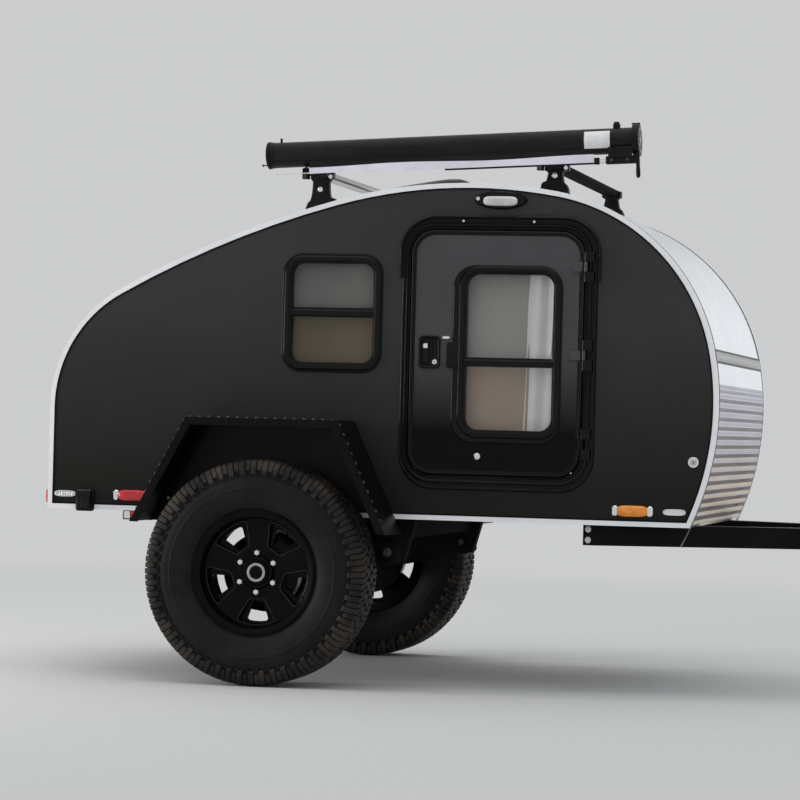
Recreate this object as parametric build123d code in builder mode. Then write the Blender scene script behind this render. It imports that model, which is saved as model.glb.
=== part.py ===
from build123d import *
import os

os.makedirs("parts", exist_ok=True)

# Teardrop camping trailer, all sizes in millimetres.
# +X is forward, +Y is left, +Z is up, and the ground is at Z = 0.
# Lengths run forward from the wheel axle, which AXLE_X places.
# Heights on the body run up from the foot of its side walls.
AXLE_X = -899.5

# Wheels and ride height
TYRE_R = 401.5
TYRE_W = 265.0
RIDE_H = 201.5
BASE_Z = TYRE_R + RIDE_H

# Body shell
BODY_W = 1524.0
WALL_T = 25.0
SHELL_T = 30.0
HALF_OUT = BODY_W / 2
HALF_IN = HALF_OUT - WALL_T
REAR_X = -853.0
HIP_H = 370.8
# The curved outline from the rear hip over the roof to the front foot.
# Columns: arc radius, turn in degrees
OUTLINE = (
    (494.6, 60.5),
    (3614.0, 13.9),
    (1823.0, 25.5),
    (705.0, 69.9),
    (1036.0, 38.5),
)
FOOT_RUN = 80.0
MOVE_GAP = 5.0
SEAM_H = 609.0
HATCH_FOOT_H = 87.0
FLOOR_T = 18.0

# Frame under the floor
RAIL_W = 50.0
RAIL_H = 50.0
RAIL_FRONT_X = 1440.0
FLOOR_H = RAIL_H
ARM_H = 76.0

# Wheel mounting, outwards from the wall
TYRE_GAP = 30.5
TRACK_Y = HALF_OUT + TYRE_GAP + TYRE_W / 2
BEAD_R = 203.0
FLANGE_R = 221.0
BARREL_R = 190.0
FLANGE_Y = 98.0
FLANGE_T = 8.0
DISC_Y0 = TRACK_Y + 13.0
DISC_Y1 = TRACK_Y + 41.0
SPINDLE_R = 20.0
SPINDLE_FIT = 0.06
LUG_PCD = 139.7

SIDE = Plane(origin=(AXLE_X, 0, BASE_Z), x_dir=(1, 0, 0), z_dir=(0, -1, 0))
DECK = Plane(origin=(AXLE_X, 0, BASE_Z), x_dir=(1, 0, 0), z_dir=(0, 0, 1))
CROSS = Plane(origin=(AXLE_X, 0, BASE_Z), x_dir=(0, 1, 0), z_dir=(1, 0, 0))
GROUND = Plane(origin=(AXLE_X, 0, 0), x_dir=(1, 0, 0), z_dir=(0, 0, 1))


def clipped(shape, x0=None, x1=None, h0=None, h1=None):
    # What lies between the given limits of a side view.
    limits = shape.bounding_box()
    x0 = limits.min.X if x0 is None else x0
    x1 = limits.max.X if x1 is None else x1
    h0 = limits.min.Y if h0 is None else h0
    h1 = limits.max.Y if h1 is None else h1
    with BuildSketch() as piece:
        add(shape)
        with Locations(((x0 + x1) / 2, (h0 + h1) / 2)):
            Rectangle(x1 - x0, h1 - h0, mode=Mode.INTERSECT)
    return piece.sketch


def body_shape(inset, low):
    # Side view of the body, inset by a wall thickness and cut at a height.
    with BuildSketch() as shape:
        with BuildLine():
            start = Line((REAR_X + inset, low - FOOT_RUN), (REAR_X + inset, HIP_H))
            seg = start
            for radius, turn in OUTLINE:
                seg = JernArc(start=seg @ 1, tangent=seg % 1, radius=radius - inset, arc_size=-turn)
            foot = ((seg @ 1).X, low - FOOT_RUN)
            Line(seg @ 1, foot)
            Line(foot, start @ 0)
        make_face()
    return clipped(shape.sketch, h0=low)


def box(x0, x1, y0, y1, h0, h1, mode=Mode.ADD):
    # A block between two corners, from the axle and the foot of the walls.
    with Locations((AXLE_X + (x0 + x1) / 2, (y0 + y1) / 2, BASE_Z + (h0 + h1) / 2)):
        Box(x1 - x0, y1 - y0, h1 - h0, mode=mode)


def panel(x0, x1, h0, h1, radius, mode=Mode.ADD):
    # A rounded rectangle in side view.
    with Locations(((x0 + x1) / 2, (h0 + h1) / 2)):
        RectangleRounded(x1 - x0, h1 - h0, radius, mode=mode)


OUTER = body_shape(0, 0)
INNER = body_shape(SHELL_T, 0)
with BuildSketch() as shell:
    add(OUTER)
    add(INNER, mode=Mode.SUBTRACT)
SHELL = shell.sketch


def roof_h(x):
    # Height of the roof at a length, above the foot of the walls.
    return clipped(OUTER, x0=x, x1=x + 0.01).bounding_box().max.Y

# Ladder frame, flush with the foot of the side walls
with BuildPart() as rails:
    box(REAR_X + SHELL_T, RAIL_FRONT_X, HALF_IN - RAIL_W, HALF_IN, 0, RAIL_H)
    box(REAR_X + SHELL_T, RAIL_FRONT_X, -HALF_IN, -HALF_IN + RAIL_W, 0, RAIL_H)
rails.part.label = "rails"
export_step(rails.part, "parts/rails.step")

# Columns: rear face of each crossmember
CROSSMEMBERS = (REAR_X + SHELL_T, -440.0, 385.0, 900.0, RAIL_FRONT_X - RAIL_W)
with BuildPart() as crossmembers:
    for x0 in CROSSMEMBERS:
        box(x0, x0 + RAIL_W, -HALF_IN + RAIL_W, HALF_IN - RAIL_W, 0, RAIL_H)
crossmembers.part.label = "crossmembers"
export_step(crossmembers.part, "parts/crossmembers.step")

# Cross beam with the hangers that carry the trailing arms
PIVOT_X = 420.0
PIVOT_H = -123.0
HANGER_T = 54.0
HANGER_Y1 = HALF_IN - RAIL_W - 3.0
HANGER_Y0 = HANGER_Y1 - HANGER_T
HANGER_DROP = 40.0
BEAM_W = 76.0
with BuildPart() as axle_beam:
    box(PIVOT_X - BEAM_W / 2, PIVOT_X + BEAM_W / 2, -HANGER_Y0, HANGER_Y0, -BEAM_W, 0)
    with BuildSketch(SIDE.offset(HANGER_Y0)):
        with BuildLine():
            Polyline(
                (PIVOT_X - 90, 0),
                (PIVOT_X - 45, PIVOT_H - HANGER_DROP),
                (PIVOT_X + 45, PIVOT_H - HANGER_DROP),
                (PIVOT_X + 90, 0),
                close=True,
            )
        make_face()
    extrude(amount=HANGER_T)
    mirror(about=Plane.XZ)
axle_beam.part.label = "axle_beam"
export_step(axle_beam.part, "parts/axle_beam.step")

# Trailing arms with spindles and brake backing plates
ARM_Y0 = HANGER_Y1 + 4.0
ARM_Y1 = ARM_Y0 + HANGER_T
ARM_TOP_H = -105.5
PLATE_R = 146.0
PLATE_Y0 = TRACK_Y - 99.0
PLATE_T = 8.0
SPINDLE_L = 96.0
SPRING_X = 170.0
# Columns: plane, middle length, middle height, radius, reach
ARM_ROUNDS = (
    (HANGER_Y1, PIVOT_X, PIVOT_H, 26.0, ARM_Y1 + 10.0),
    (ARM_Y1, 0.0, -RIDE_H, 34.0, PLATE_Y0),
    (PLATE_Y0, 0.0, -RIDE_H, PLATE_R, PLATE_Y0 + PLATE_T),
    (PLATE_Y0 + PLATE_T, 0.0, -RIDE_H, SPINDLE_R, PLATE_Y0 + PLATE_T + SPINDLE_L),
)
with BuildPart() as trailing_arms:
    with BuildSketch(SIDE.offset(ARM_Y0)) as arm:
        with BuildLine():
            Polyline(
                (-40, -RIDE_H - 42),
                (-46, -RIDE_H + 30),
                (SPRING_X - 50, ARM_TOP_H),
                (SPRING_X + 50, ARM_TOP_H),
                (PIVOT_X + 36, PIVOT_H + 38),
                (PIVOT_X + 44, PIVOT_H - 38),
                (60, -RIDE_H - 46),
                close=True,
            )
        make_face()
        fillet(arm.vertices(), 16)
    extrude(amount=ARM_Y1 - ARM_Y0)
    for start_y, x, height, radius, end_y in ARM_ROUNDS:
        with BuildSketch(SIDE.offset(start_y)):
            with Locations((x, height)):
                Circle(radius)
        extrude(amount=end_y - start_y)
    mirror(about=Plane.XZ)
trailing_arms.part.label = "trailing_arms"
export_step(trailing_arms.part, "parts/trailing_arms.step")

# Rubber springs between the arms and the frame, with a wide middle
SPRING_R = 24.0
SPRING_WAIST = 40.0
SPRING_END = 20.0
with BuildPart() as springs:
    with BuildSketch(DECK.offset(ARM_TOP_H)):
        with Locations((SPRING_X, -(ARM_Y0 + ARM_Y1) / 2)):
            Circle(SPRING_R)
    extrude(amount=-ARM_TOP_H)
    with BuildSketch(DECK.offset(ARM_TOP_H + SPRING_END)):
        with Locations((SPRING_X, -(ARM_Y0 + ARM_Y1) / 2)):
            Circle(SPRING_WAIST)
    extrude(amount=-ARM_TOP_H - 2 * SPRING_END)
    mirror(about=Plane.XZ)
springs.part.label = "springs"
export_step(springs.part, "parts/springs.step")

# Drawbar: two arms that meet under the coupler, and a plate for the jack
ARM_REAR_X = 1120.0
ARM_REAR_Y = HALF_IN - 47.0
ARM_FRONT_X = 2560.0
ARM_FRONT_Y = 54.0
ARM_OVERLAP = 18.0
JACK_X = 2330.0
JACK_TUBE_R = 29.0
JACK_GAP = 0.5
PLATE_H = 8.0
with BuildPart() as drawbar:
    with BuildSketch(DECK.offset(-ARM_H)):
        with BuildLine():
            Polyline(
                (ARM_REAR_X, -ARM_REAR_Y),
                (ARM_REAR_X + 45, -ARM_REAR_Y - 12),
                (ARM_FRONT_X, -ARM_FRONT_Y),
                (ARM_FRONT_X, ARM_OVERLAP),
                (ARM_REAR_X, -ARM_REAR_Y + 56),
                close=True,
            )
        make_face()
    extrude(amount=ARM_H)
    mirror(about=Plane.XZ)
    with BuildSketch(DECK):
        with BuildLine():
            Polyline(
                (JACK_X - 70, -118),
                (JACK_X + 110, -60),
                (JACK_X + 110, 60),
                (JACK_X - 70, 118),
                close=True,
            )
        make_face()
        with Locations((JACK_X, 0)):
            Circle(JACK_TUBE_R + JACK_GAP, mode=Mode.SUBTRACT)
    extrude(amount=PLATE_H)
drawbar.part.label = "drawbar"
export_step(drawbar.part, "parts/drawbar.step")

# Coupler with a round socket for a 2 inch ball, open below, and its latch lever
SOCKET_R = 25.7
SOCKET_D = 32.0
COUPLER_X0 = 2460.0
BALL_X = 2650.0
HEAD_R = 40.0
HEAD_H = 58.0
with BuildPart() as coupler:
    with BuildSketch(DECK):
        with BuildLine():
            Polyline(
                (COUPLER_X0, -42),
                (COUPLER_X0 + 90, -42),
                (BALL_X, -30),
                (BALL_X, 30),
                (COUPLER_X0 + 90, 42),
                (COUPLER_X0, 42),
                close=True,
            )
        make_face()
    extrude(amount=HEAD_H - 8)
    with BuildSketch(DECK):
        with Locations((BALL_X, 0)):
            Circle(HEAD_R)
    extrude(amount=HEAD_H)
    with BuildSketch(DECK):
        with Locations((BALL_X, 0)):
            Circle(SOCKET_R)
    extrude(amount=SOCKET_D, mode=Mode.SUBTRACT)
    with BuildSketch(SIDE.offset(-9)):
        with BuildLine():
            Polyline(
                (BALL_X - 130, HEAD_H - 10),
                (BALL_X - 130, HEAD_H + 6),
                (BALL_X - 70, HEAD_H + 22),
                (BALL_X - 8, HEAD_H + 26),
                (BALL_X - 8, HEAD_H + 14),
                (BALL_X - 60, HEAD_H - 10),
                close=True,
            )
        make_face()
    extrude(amount=18)
coupler.part.label = "coupler"
export_step(coupler.part, "parts/coupler.step")

# Tongue jack: outer tube with its crank, and the leg that stands on the ground
JACK_TOP_H = 277.0
JACK_LOW_H = -243.0
JACK_HEAD_H = 50.0
JACK_FLANGE_R = 48.0
CRANK_L = 138.0
LEG_R = 23.0
LEG_FIT = 0.4
# Columns: plane height, middle Y, radius, length, hollow
JACK_ROUNDS = (
    (JACK_LOW_H, 0.0, JACK_TUBE_R, JACK_TOP_H - JACK_LOW_H, True),
    (PLATE_H, 0.0, JACK_FLANGE_R, 10.0, True),
    (JACK_TOP_H, 0.0, 36.0, JACK_HEAD_H, False),
    (JACK_TOP_H + JACK_HEAD_H, 0.0, 12.0, 14.0, False),
    (JACK_TOP_H + JACK_HEAD_H + 14.0, -CRANK_L, 13.0, 80.0, False),
)
with BuildPart() as jack_tube:
    for height, y, radius, length, hollow in JACK_ROUNDS:
        with BuildSketch(DECK.offset(height)):
            with Locations((JACK_X, y)):
                Circle(radius)
                if hollow:
                    Circle(LEG_R + LEG_FIT, mode=Mode.SUBTRACT)
        extrude(amount=length)
    crank_h = JACK_TOP_H + JACK_HEAD_H + 6
    box(JACK_X - 12, JACK_X + 12, -CRANK_L - 12, 12, crank_h, crank_h + 8)
jack_tube.part.label = "jack_tube"
export_step(jack_tube.part, "parts/jack_tube.step")

JACK_STROKE = 250.0
PAD_W = 190.0
PAD_T = 6.0
with BuildPart() as jack_leg:
    with BuildSketch(GROUND):
        with Locations((JACK_X, 0)):
            RectangleRounded(PAD_W, PAD_W, 24)
    extrude(amount=PAD_T)
    with BuildSketch(GROUND.offset(PAD_T)):
        with Locations((JACK_X, 0)):
            Circle(40)
    extrude(amount=14)
    with BuildSketch(GROUND.offset(PAD_T)):
        with Locations((JACK_X, 0)):
            Circle(LEG_R)
    extrude(amount=BASE_Z + JACK_TOP_H - JACK_STROKE - 16)
jack_leg.part.label = "jack_leg"
export_step(jack_leg.part, "parts/jack_leg.step")

# Floor board on the frame
with BuildPart() as floor_board:
    with BuildSketch(SIDE.offset(-HALF_IN)):
        add(clipped(INNER, h0=FLOOR_H, h1=FLOOR_H + FLOOR_T))
    extrude(amount=2 * HALF_IN)
floor_board.part.label = "floor_board"
export_step(floor_board.part, "parts/floor_board.step")

# Doors: leaf, outer frame with its beads and drip rail, window frame and glass
# Columns: rear, front, foot and head of each rounded rectangle
LEAF = (490.0, 1112.0, 164.0, 1034.0)
LEAF_RAD = 84.0
LEAF_PROUD = 6.0
LEAF_EDGE = 9.0
LEAF_EDGE_H = 3.5
FRAME_MARGIN = (35.0, 50.0, 55.0, 45.0)
FRAME_RAD = 125.0
FLANGE_LAP = 15.0
# Beads round the frame. Columns: start and end as a share of its width, height
FRAME_BEADS = ((0.05, 0.28, 8.4), (0.46, 0.74, 10.0), (0.9, 1.0, 6.5))
FRAME_BASE_T = 3.6
GUTTER_FOOT = 862.0
GUTTER_OUT = 6.0
GUTTER_IN = 4.0
GUTTER_H = 17.0
PANE = (665.0, 1034.0, 297.0, 908.0)
PANE_RAD = 72.0
PANE_BEAD = (23.0, 5.0, 20.0, 4.0)
MULLION = (550.0, 576.0)
SIDE_PANE = (20.0, 376.0, 525.0, 938.0)
SIDE_RAD = 66.0
SIDE_BEAD = (8.0, 8.0, 8.0, 8.0)
SIDE_MULLION = (717.0, 744.0)
BEAD_H = 5.5
RING_H = 11.0
RING_STEP = 7.0
LAP = 14.0
LIP = 28.0
GLASS_T = 5.0
GLASS_SET = 4.0


def grown(rect, margins):
    # A rectangle with its four sides moved out.
    return (rect[0] - margins[0], rect[1] + margins[1], rect[2] - margins[2], rect[3] + margins[3])


def between(outer, inner, share):
    return tuple(a + (b - a) * share for a, b in zip(outer, inner))


def ring(plane_y, outer, outer_rad, inner, inner_rad, height, mode=Mode.ADD):
    # A band between two rounded rectangles, standing up from a plane beside the wall.
    with BuildSketch(SIDE.offset(plane_y)) as band:
        panel(*outer, outer_rad)
        panel(*inner, inner_rad, mode=Mode.SUBTRACT)
    extrude(band.sketch, amount=height, mode=mode)


def window_frame(pane, radius, bead, face, mullion):
    # Outer bead, thick ring with a stepped edge, sleeve through the wall, lip and mullion.
    outer = grown(pane, bead)
    lip = grown(pane, (-LIP,) * 4)
    sleeve = grown(pane, (-LAP,) * 4)
    step = grown(pane, (-RING_STEP,) * 4)
    seat = grown(pane, (-LAP - 6,) * 4)
    ring(face, outer, radius + 8, pane, radius, BEAD_H)
    ring(face, pane, radius, lip, radius - LIP, RING_H - 2)
    ring(face, step, radius - RING_STEP, lip, radius - LIP, RING_H)
    ring(HALF_IN, sleeve, radius - LAP, lip, radius - LIP, face - HALF_IN)
    ring(HALF_IN, seat, radius - LAP - 6, lip, radius - LIP, face - HALF_IN - GLASS_SET, mode=Mode.SUBTRACT)
    box(lip[0], lip[1], -face - RING_H + 4, -face + GLASS_SET, mullion[0], mullion[1])


def window_glass(pane, radius, face):
    # Pane that rests behind the lip.
    inset = LAP + 8
    with BuildSketch(SIDE.offset(face - GLASS_SET - GLASS_T)) as sheet:
        panel(*grown(pane, (-inset,) * 4), radius - inset)
    extrude(sheet.sketch, amount=GLASS_T)


# Door hinges: a pin between two fixed knuckles, and a moving knuckle on the leaf
DOOR_AXIS_X = LEAF[1] + 8.0
DOOR_AXIS_Y = HALF_OUT + LEAF_PROUD + 8.0
KNUCKLE_R = 6.0
PIN_R = 2.5
PIN_FIT = 0.05
KNUCKLE_L = 36.0
KNUCKLE_GAP = 0.5
FIXED_PLATE = 32.0
MOVING_PLATE = 48.0
# Columns: middle height of each hinge
DOOR_HINGES = (282.0, 597.0, 912.0)


def door_knuckle(low, high, x0, x1, y_in, y_out, bore):
    # One knuckle with its leaf plate, between two heights.
    with BuildSketch(DECK.offset(low)) as knuckle:
        with Locations(((x0 + x1) / 2, -(y_in + y_out) / 2)):
            Rectangle(x1 - x0, y_out - y_in)
        with Locations((DOOR_AXIS_X, -DOOR_AXIS_Y)):
            Circle(KNUCKLE_R)
            if bore:
                Circle(PIN_R + PIN_FIT, mode=Mode.SUBTRACT)
    extrude(knuckle.sketch, amount=high - low)


FRAME = grown(LEAF, FRAME_MARGIN)
FRAME_HOLE = grown(FRAME, (-FLANGE_LAP,) * 4)
SIDE_HOLE = grown(SIDE_PANE, (-LAP,) * 4)

# Side walls
with BuildPart() as wall_right:
    with BuildSketch(SIDE.offset(HALF_IN)):
        add(OUTER)
        panel(*FRAME_HOLE, FRAME_RAD - FLANGE_LAP, mode=Mode.SUBTRACT)
        panel(*SIDE_HOLE, SIDE_RAD - LAP, mode=Mode.SUBTRACT)
    extrude(amount=WALL_T)
wall_right.part.label = "wall_right"
export_step(wall_right.part, "parts/wall_right.step")

with BuildPart() as wall_left:
    mirror(wall_right.part, about=Plane.XZ)
wall_left.part.label = "wall_left"
export_step(wall_left.part, "parts/wall_left.step")

# Hinge of the hatch: place, and middle of each moving knuckle across the width
HINGE_X = -100.0
HINGE_RISE = 7.57
HINGE_H = roof_h(HINGE_X) + HINGE_RISE
HINGE_R = 7.0
HINGE_SPLIT = 3.0
HINGE_REACH = 38.0
HINGE_DROP = 30.0
HATCH_KNUCKLE_L = 60.0
HINGE_END = 177.0
HINGE_MID = 190.0
HATCH_HINGES = (-HALF_IN + HINGE_END, -HINGE_MID, HINGE_MID, HALF_IN - HINGE_END)

# Roof and upper front skin between the walls
with BuildPart() as roof_panel:
    with BuildSketch(SIDE.offset(-HALF_IN)):
        add(clipped(SHELL, x0=HINGE_X + HINGE_SPLIT, h0=SEAM_H))
    extrude(amount=2 * HALF_IN)
roof_panel.part.label = "roof_panel"
export_step(roof_panel.part, "parts/roof_panel.step")

# Lower front panel
with BuildPart() as front_guard:
    with BuildSketch(SIDE.offset(-HALF_IN)):
        add(clipped(SHELL, x0=0, h1=SEAM_H))
    extrude(amount=2 * HALF_IN)
front_guard.part.label = "front_guard"
export_step(front_guard.part, "parts/front_guard.step")

# Rear sill below the hatch
with BuildPart() as rear_sill:
    box(REAR_X, REAR_X + SHELL_T, -HALF_IN, HALF_IN, 0, HATCH_FOOT_H - MOVE_GAP - 1)
rear_sill.part.label = "rear_sill"
export_step(rear_sill.part, "parts/rear_sill.step")


def hinge_leaf(way):
    # Barrel and sloped plate in side view, forward for way 1 and back for -1.
    rise = 12 if way > 0 else -13
    with BuildSketch() as leaf:
        with BuildLine():
            Polyline(
                (HINGE_X, HINGE_H - 2),
                (HINGE_X + way * 4, HINGE_H),
                (HINGE_X + way * HINGE_REACH, HINGE_H + rise),
                (HINGE_X + way * HINGE_REACH, HINGE_H - HINGE_DROP),
                (HINGE_X + way * HINGE_SPLIT, HINGE_H - HINGE_DROP),
                (HINGE_X + way * HINGE_SPLIT, HINGE_H - 5),
                close=True,
            )
        make_face()
        add(OUTER, mode=Mode.SUBTRACT)
        with Locations((HINGE_X, HINGE_H)):
            Circle(HINGE_R)
    return leaf.sketch


# Rear hatch over the galley
with BuildPart() as hatch:
    with BuildSketch(SIDE.offset(-HALF_IN + MOVE_GAP)):
        add(clipped(SHELL, x1=HINGE_X - HINGE_SPLIT, h0=HATCH_FOOT_H))
    extrude(amount=2 * (HALF_IN - MOVE_GAP))
    for middle in HATCH_HINGES:
        reach = HATCH_KNUCKLE_L / 2 - KNUCKLE_GAP
        with BuildSketch(SIDE.offset(middle - reach)):
            add(hinge_leaf(-1))
            with Locations((HINGE_X, HINGE_H)):
                Circle(PIN_R + PIN_FIT, mode=Mode.SUBTRACT)
        extrude(amount=2 * reach)
hatch.part.label = "hatch"
export_step(hatch.part, "parts/hatch.step")

# T handle of the hatch on its round rose
HANDLE_H = 157.0
HANDLE_L = 110.0
with BuildPart() as hatch_handle:
    with BuildSketch(CROSS.offset(REAR_X)):
        with Locations((0, HANDLE_H)):
            RectangleRounded(140, 50, 12)
    extrude(amount=-10, taper=8)
    with BuildSketch(CROSS.offset(REAR_X - 10)):
        with Locations((0, HANDLE_H)):
            Circle(13)
    extrude(amount=-14)
    with BuildSketch(CROSS.offset(REAR_X - 24)):
        with Locations((0, HANDLE_H)):
            SlotOverall(HANDLE_L, 22)
    extrude(amount=-14)
hatch_handle.part.label = "hatch_handle"
export_step(hatch_handle.part, "parts/hatch_handle.step")

# Hinge strip of the hatch, with gaps for the knuckles of the hatch
STRIP_END = 12.0
PIN_END = 20.0
with BuildPart() as hatch_hinge:
    with BuildSketch(SIDE.offset(-HALF_IN + STRIP_END)):
        add(hinge_leaf(1))
    extrude(amount=2 * (HALF_IN - STRIP_END))
    for middle in HATCH_HINGES:
        reach = HATCH_KNUCKLE_L / 2
        sides = (middle - reach, middle + reach)
        box(HINGE_X - 20, HINGE_X + 16, *sides, HINGE_H - 40, HINGE_H + 20, mode=Mode.SUBTRACT)
    with BuildSketch(SIDE.offset(-HALF_IN + PIN_END)):
        with Locations((HINGE_X, HINGE_H)):
            Circle(PIN_R)
    extrude(amount=2 * (HALF_IN - PIN_END))
hatch_hinge.part.label = "hatch_hinge"
export_step(hatch_hinge.part, "parts/hatch_hinge.step")

# Galley: counter over the foot space, cupboard with drawer fronts, shelf, and the wall to the cabin
COUNTER_H = 497.0
COUNTER_T = 25.0
SHELF_H = 757.0
PLY_T = 18.0
BULK_X = -92.0
CUPBOARD = (-690.0, -400.0)
COUNTER_X = CUPBOARD[0] - 10.0
# Fronts of the cupboard. Columns: right edge, left edge, foot and head, heights from the floor board
FRONTS = (
    (-HALF_IN + 12, -250.0, 19.0, 209.0),
    (-HALF_IN + 12, -250.0, 219.0, 414.0),
    (-240.0, 240.0, 19.0, 414.0),
    (250.0, HALF_IN - 12, 19.0, 209.0),
    (250.0, HALF_IN - 12, 219.0, 414.0),
)
FRONT_T = 9.0
with BuildPart() as galley:
    box(COUNTER_X, BULK_X + PLY_T, -HALF_IN, HALF_IN, COUNTER_H, COUNTER_H + COUNTER_T)
    box(CUPBOARD[0], CUPBOARD[1], -HALF_IN, HALF_IN, FLOOR_H + FLOOR_T, COUNTER_H)
    box(CUPBOARD[1], BULK_X, -HALF_IN, HALF_IN, SHELF_H, SHELF_H + PLY_T)
    for y0, y1, low, high in FRONTS:
        foot = FLOOR_H + FLOOR_T
        box(CUPBOARD[0] - FRONT_T, CUPBOARD[0], y0, y1, foot + low, foot + high)
    with BuildSketch(SIDE.offset(-HALF_IN)):
        add(clipped(INNER, x0=BULK_X, x1=BULK_X + PLY_T, h0=COUNTER_H + COUNTER_T))
    extrude(amount=2 * HALF_IN)
galley.part.label = "galley"
export_step(galley.part, "parts/galley.step")

# Mattress on the cabin floor, from the cupboard to the nose
BED_T = 85.0
BED_SIDE_GAP = 10.0
BED_FOOT_GAP = 15.0
BED_NOSE_GAP = 48.6
BED_H = FLOOR_H + FLOOR_T
BED_X0 = CUPBOARD[1] + BED_FOOT_GAP
BED_X1 = clipped(INNER, h0=BED_H, h1=BED_H + 0.01).bounding_box().max.X - BED_NOSE_GAP
with BuildPart() as mattress:
    with BuildSketch(DECK.offset(BED_H)):
        with Locations(((BED_X0 + BED_X1) / 2, 0)):
            RectangleRounded(BED_X1 - BED_X0, 2 * (HALF_IN - BED_SIDE_GAP), 40)
    extrude(amount=BED_T)
mattress.part.label = "mattress"
export_step(mattress.part, "parts/mattress.step")

# Bright edge mouldings round both walls
TRIM_W = 20.0
TRIM_T = 2.0
with BuildPart() as edge_trims:
    with BuildSketch(SIDE.offset(HALF_OUT - TRIM_W)):
        add(body_shape(-TRIM_T, -TRIM_T))
    extrude(amount=TRIM_W + TRIM_T)
    with BuildSketch(SIDE.offset(HALF_OUT - TRIM_W)):
        add(OUTER)
    extrude(amount=TRIM_W, mode=Mode.SUBTRACT)
    with BuildSketch(SIDE.offset(HALF_OUT - TRIM_W)):
        add(body_shape(TRIM_W, TRIM_W))
    extrude(amount=TRIM_W + TRIM_T, mode=Mode.SUBTRACT)
    mirror(about=Plane.XZ)
edge_trims.part.label = "edge_trims"
export_step(edge_trims.part, "parts/edge_trims.step")

LEAF_HOLE = grown(LEAF, (MOVE_GAP,) * 4)


def drip_rail(margin):
    # Band over the head and down both sides of a door frame.
    with BuildSketch() as band:
        panel(*grown(FRAME, (GUTTER_OUT,) * 4), FRAME_RAD + GUTTER_OUT)
        panel(*grown(FRAME, (margin,) * 4), FRAME_RAD + margin, mode=Mode.SUBTRACT)
    return clipped(band.sketch, h0=GUTTER_FOOT)


with BuildPart() as door_frames:
    ring(HALF_IN, FRAME_HOLE, FRAME_RAD - FLANGE_LAP, LEAF_HOLE, LEAF_RAD + MOVE_GAP, WALL_T)
    ring(HALF_OUT, FRAME, FRAME_RAD, LEAF_HOLE, LEAF_RAD + MOVE_GAP, FRAME_BASE_T)
    for start, end, height in FRAME_BEADS:
        outer_rad = FRAME_RAD + (LEAF_RAD + MOVE_GAP - FRAME_RAD) * start
        inner_rad = FRAME_RAD + (LEAF_RAD + MOVE_GAP - FRAME_RAD) * end
        outer = between(FRAME, LEAF_HOLE, start)
        inner = between(FRAME, LEAF_HOLE, end)
        ring(HALF_OUT, outer, outer_rad, inner, inner_rad, height)
    # Columns: inner margin of the drip rail, its height from the wall
    for margin, height in ((-GUTTER_IN, GUTTER_IN), (1.0, GUTTER_H)):
        with BuildSketch(SIDE.offset(HALF_OUT)):
            add(drip_rail(margin))
        extrude(amount=height)
    for height in DOOR_HINGES:
        face = HALF_OUT + FRAME_BASE_T
        near = KNUCKLE_L / 2
        far = KNUCKLE_L / 2 + KNUCKLE_L
        for low, high in ((height - far, height - near), (height + near, height + far)):
            door_knuckle(low, high, DOOR_AXIS_X, DOOR_AXIS_X + FIXED_PLATE, face, DOOR_AXIS_Y - 3, False)
        with BuildSketch(DECK.offset(height - near)) as pin:
            with Locations((DOOR_AXIS_X, -DOOR_AXIS_Y)):
                Circle(PIN_R)
        extrude(pin.sketch, amount=KNUCKLE_L)
    mirror(about=Plane.XZ)
door_frames.part.label = "door_frames"
export_step(door_frames.part, "parts/door_frames.step")

DOOR_FACE = HALF_OUT + LEAF_PROUD
with BuildPart() as door_right:
    ring(HALF_IN, LEAF, LEAF_RAD, grown(PANE, (-LAP,) * 4), PANE_RAD - LAP, WALL_T + LEAF_PROUD)
    ring(DOOR_FACE, LEAF, LEAF_RAD, grown(LEAF, (-LEAF_EDGE,) * 4), LEAF_RAD - LEAF_EDGE, LEAF_EDGE_H)
    for height in DOOR_HINGES:
        low = height - KNUCKLE_L / 2 + KNUCKLE_GAP
        high = height + KNUCKLE_L / 2 - KNUCKLE_GAP
        near_x = DOOR_AXIS_X - KNUCKLE_R + PIN_R
        door_knuckle(low, high, near_x - MOVING_PLATE, near_x, DOOR_FACE, DOOR_AXIS_Y - 1, True)
door_right.part.label = "door_right"
export_step(door_right.part, "parts/door_right.step")

with BuildPart() as door_left:
    mirror(door_right.part, about=Plane.XZ)
door_left.part.label = "door_left"
export_step(door_left.part, "parts/door_left.step")

with BuildPart() as door_window_right:
    window_frame(PANE, PANE_RAD, PANE_BEAD, DOOR_FACE, MULLION)
door_window_right.part.label = "door_window_right"
export_step(door_window_right.part, "parts/door_window_right.step")

with BuildPart() as door_window_left:
    mirror(door_window_right.part, about=Plane.XZ)
door_window_left.part.label = "door_window_left"
export_step(door_window_left.part, "parts/door_window_left.step")

with BuildPart() as door_glass_right:
    window_glass(PANE, PANE_RAD, DOOR_FACE)
door_glass_right.part.label = "door_glass_right"
export_step(door_glass_right.part, "parts/door_glass_right.step")

with BuildPart() as door_glass_left:
    mirror(door_glass_right.part, about=Plane.XZ)
door_glass_left.part.label = "door_glass_left"
export_step(door_glass_left.part, "parts/door_glass_left.step")

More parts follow.
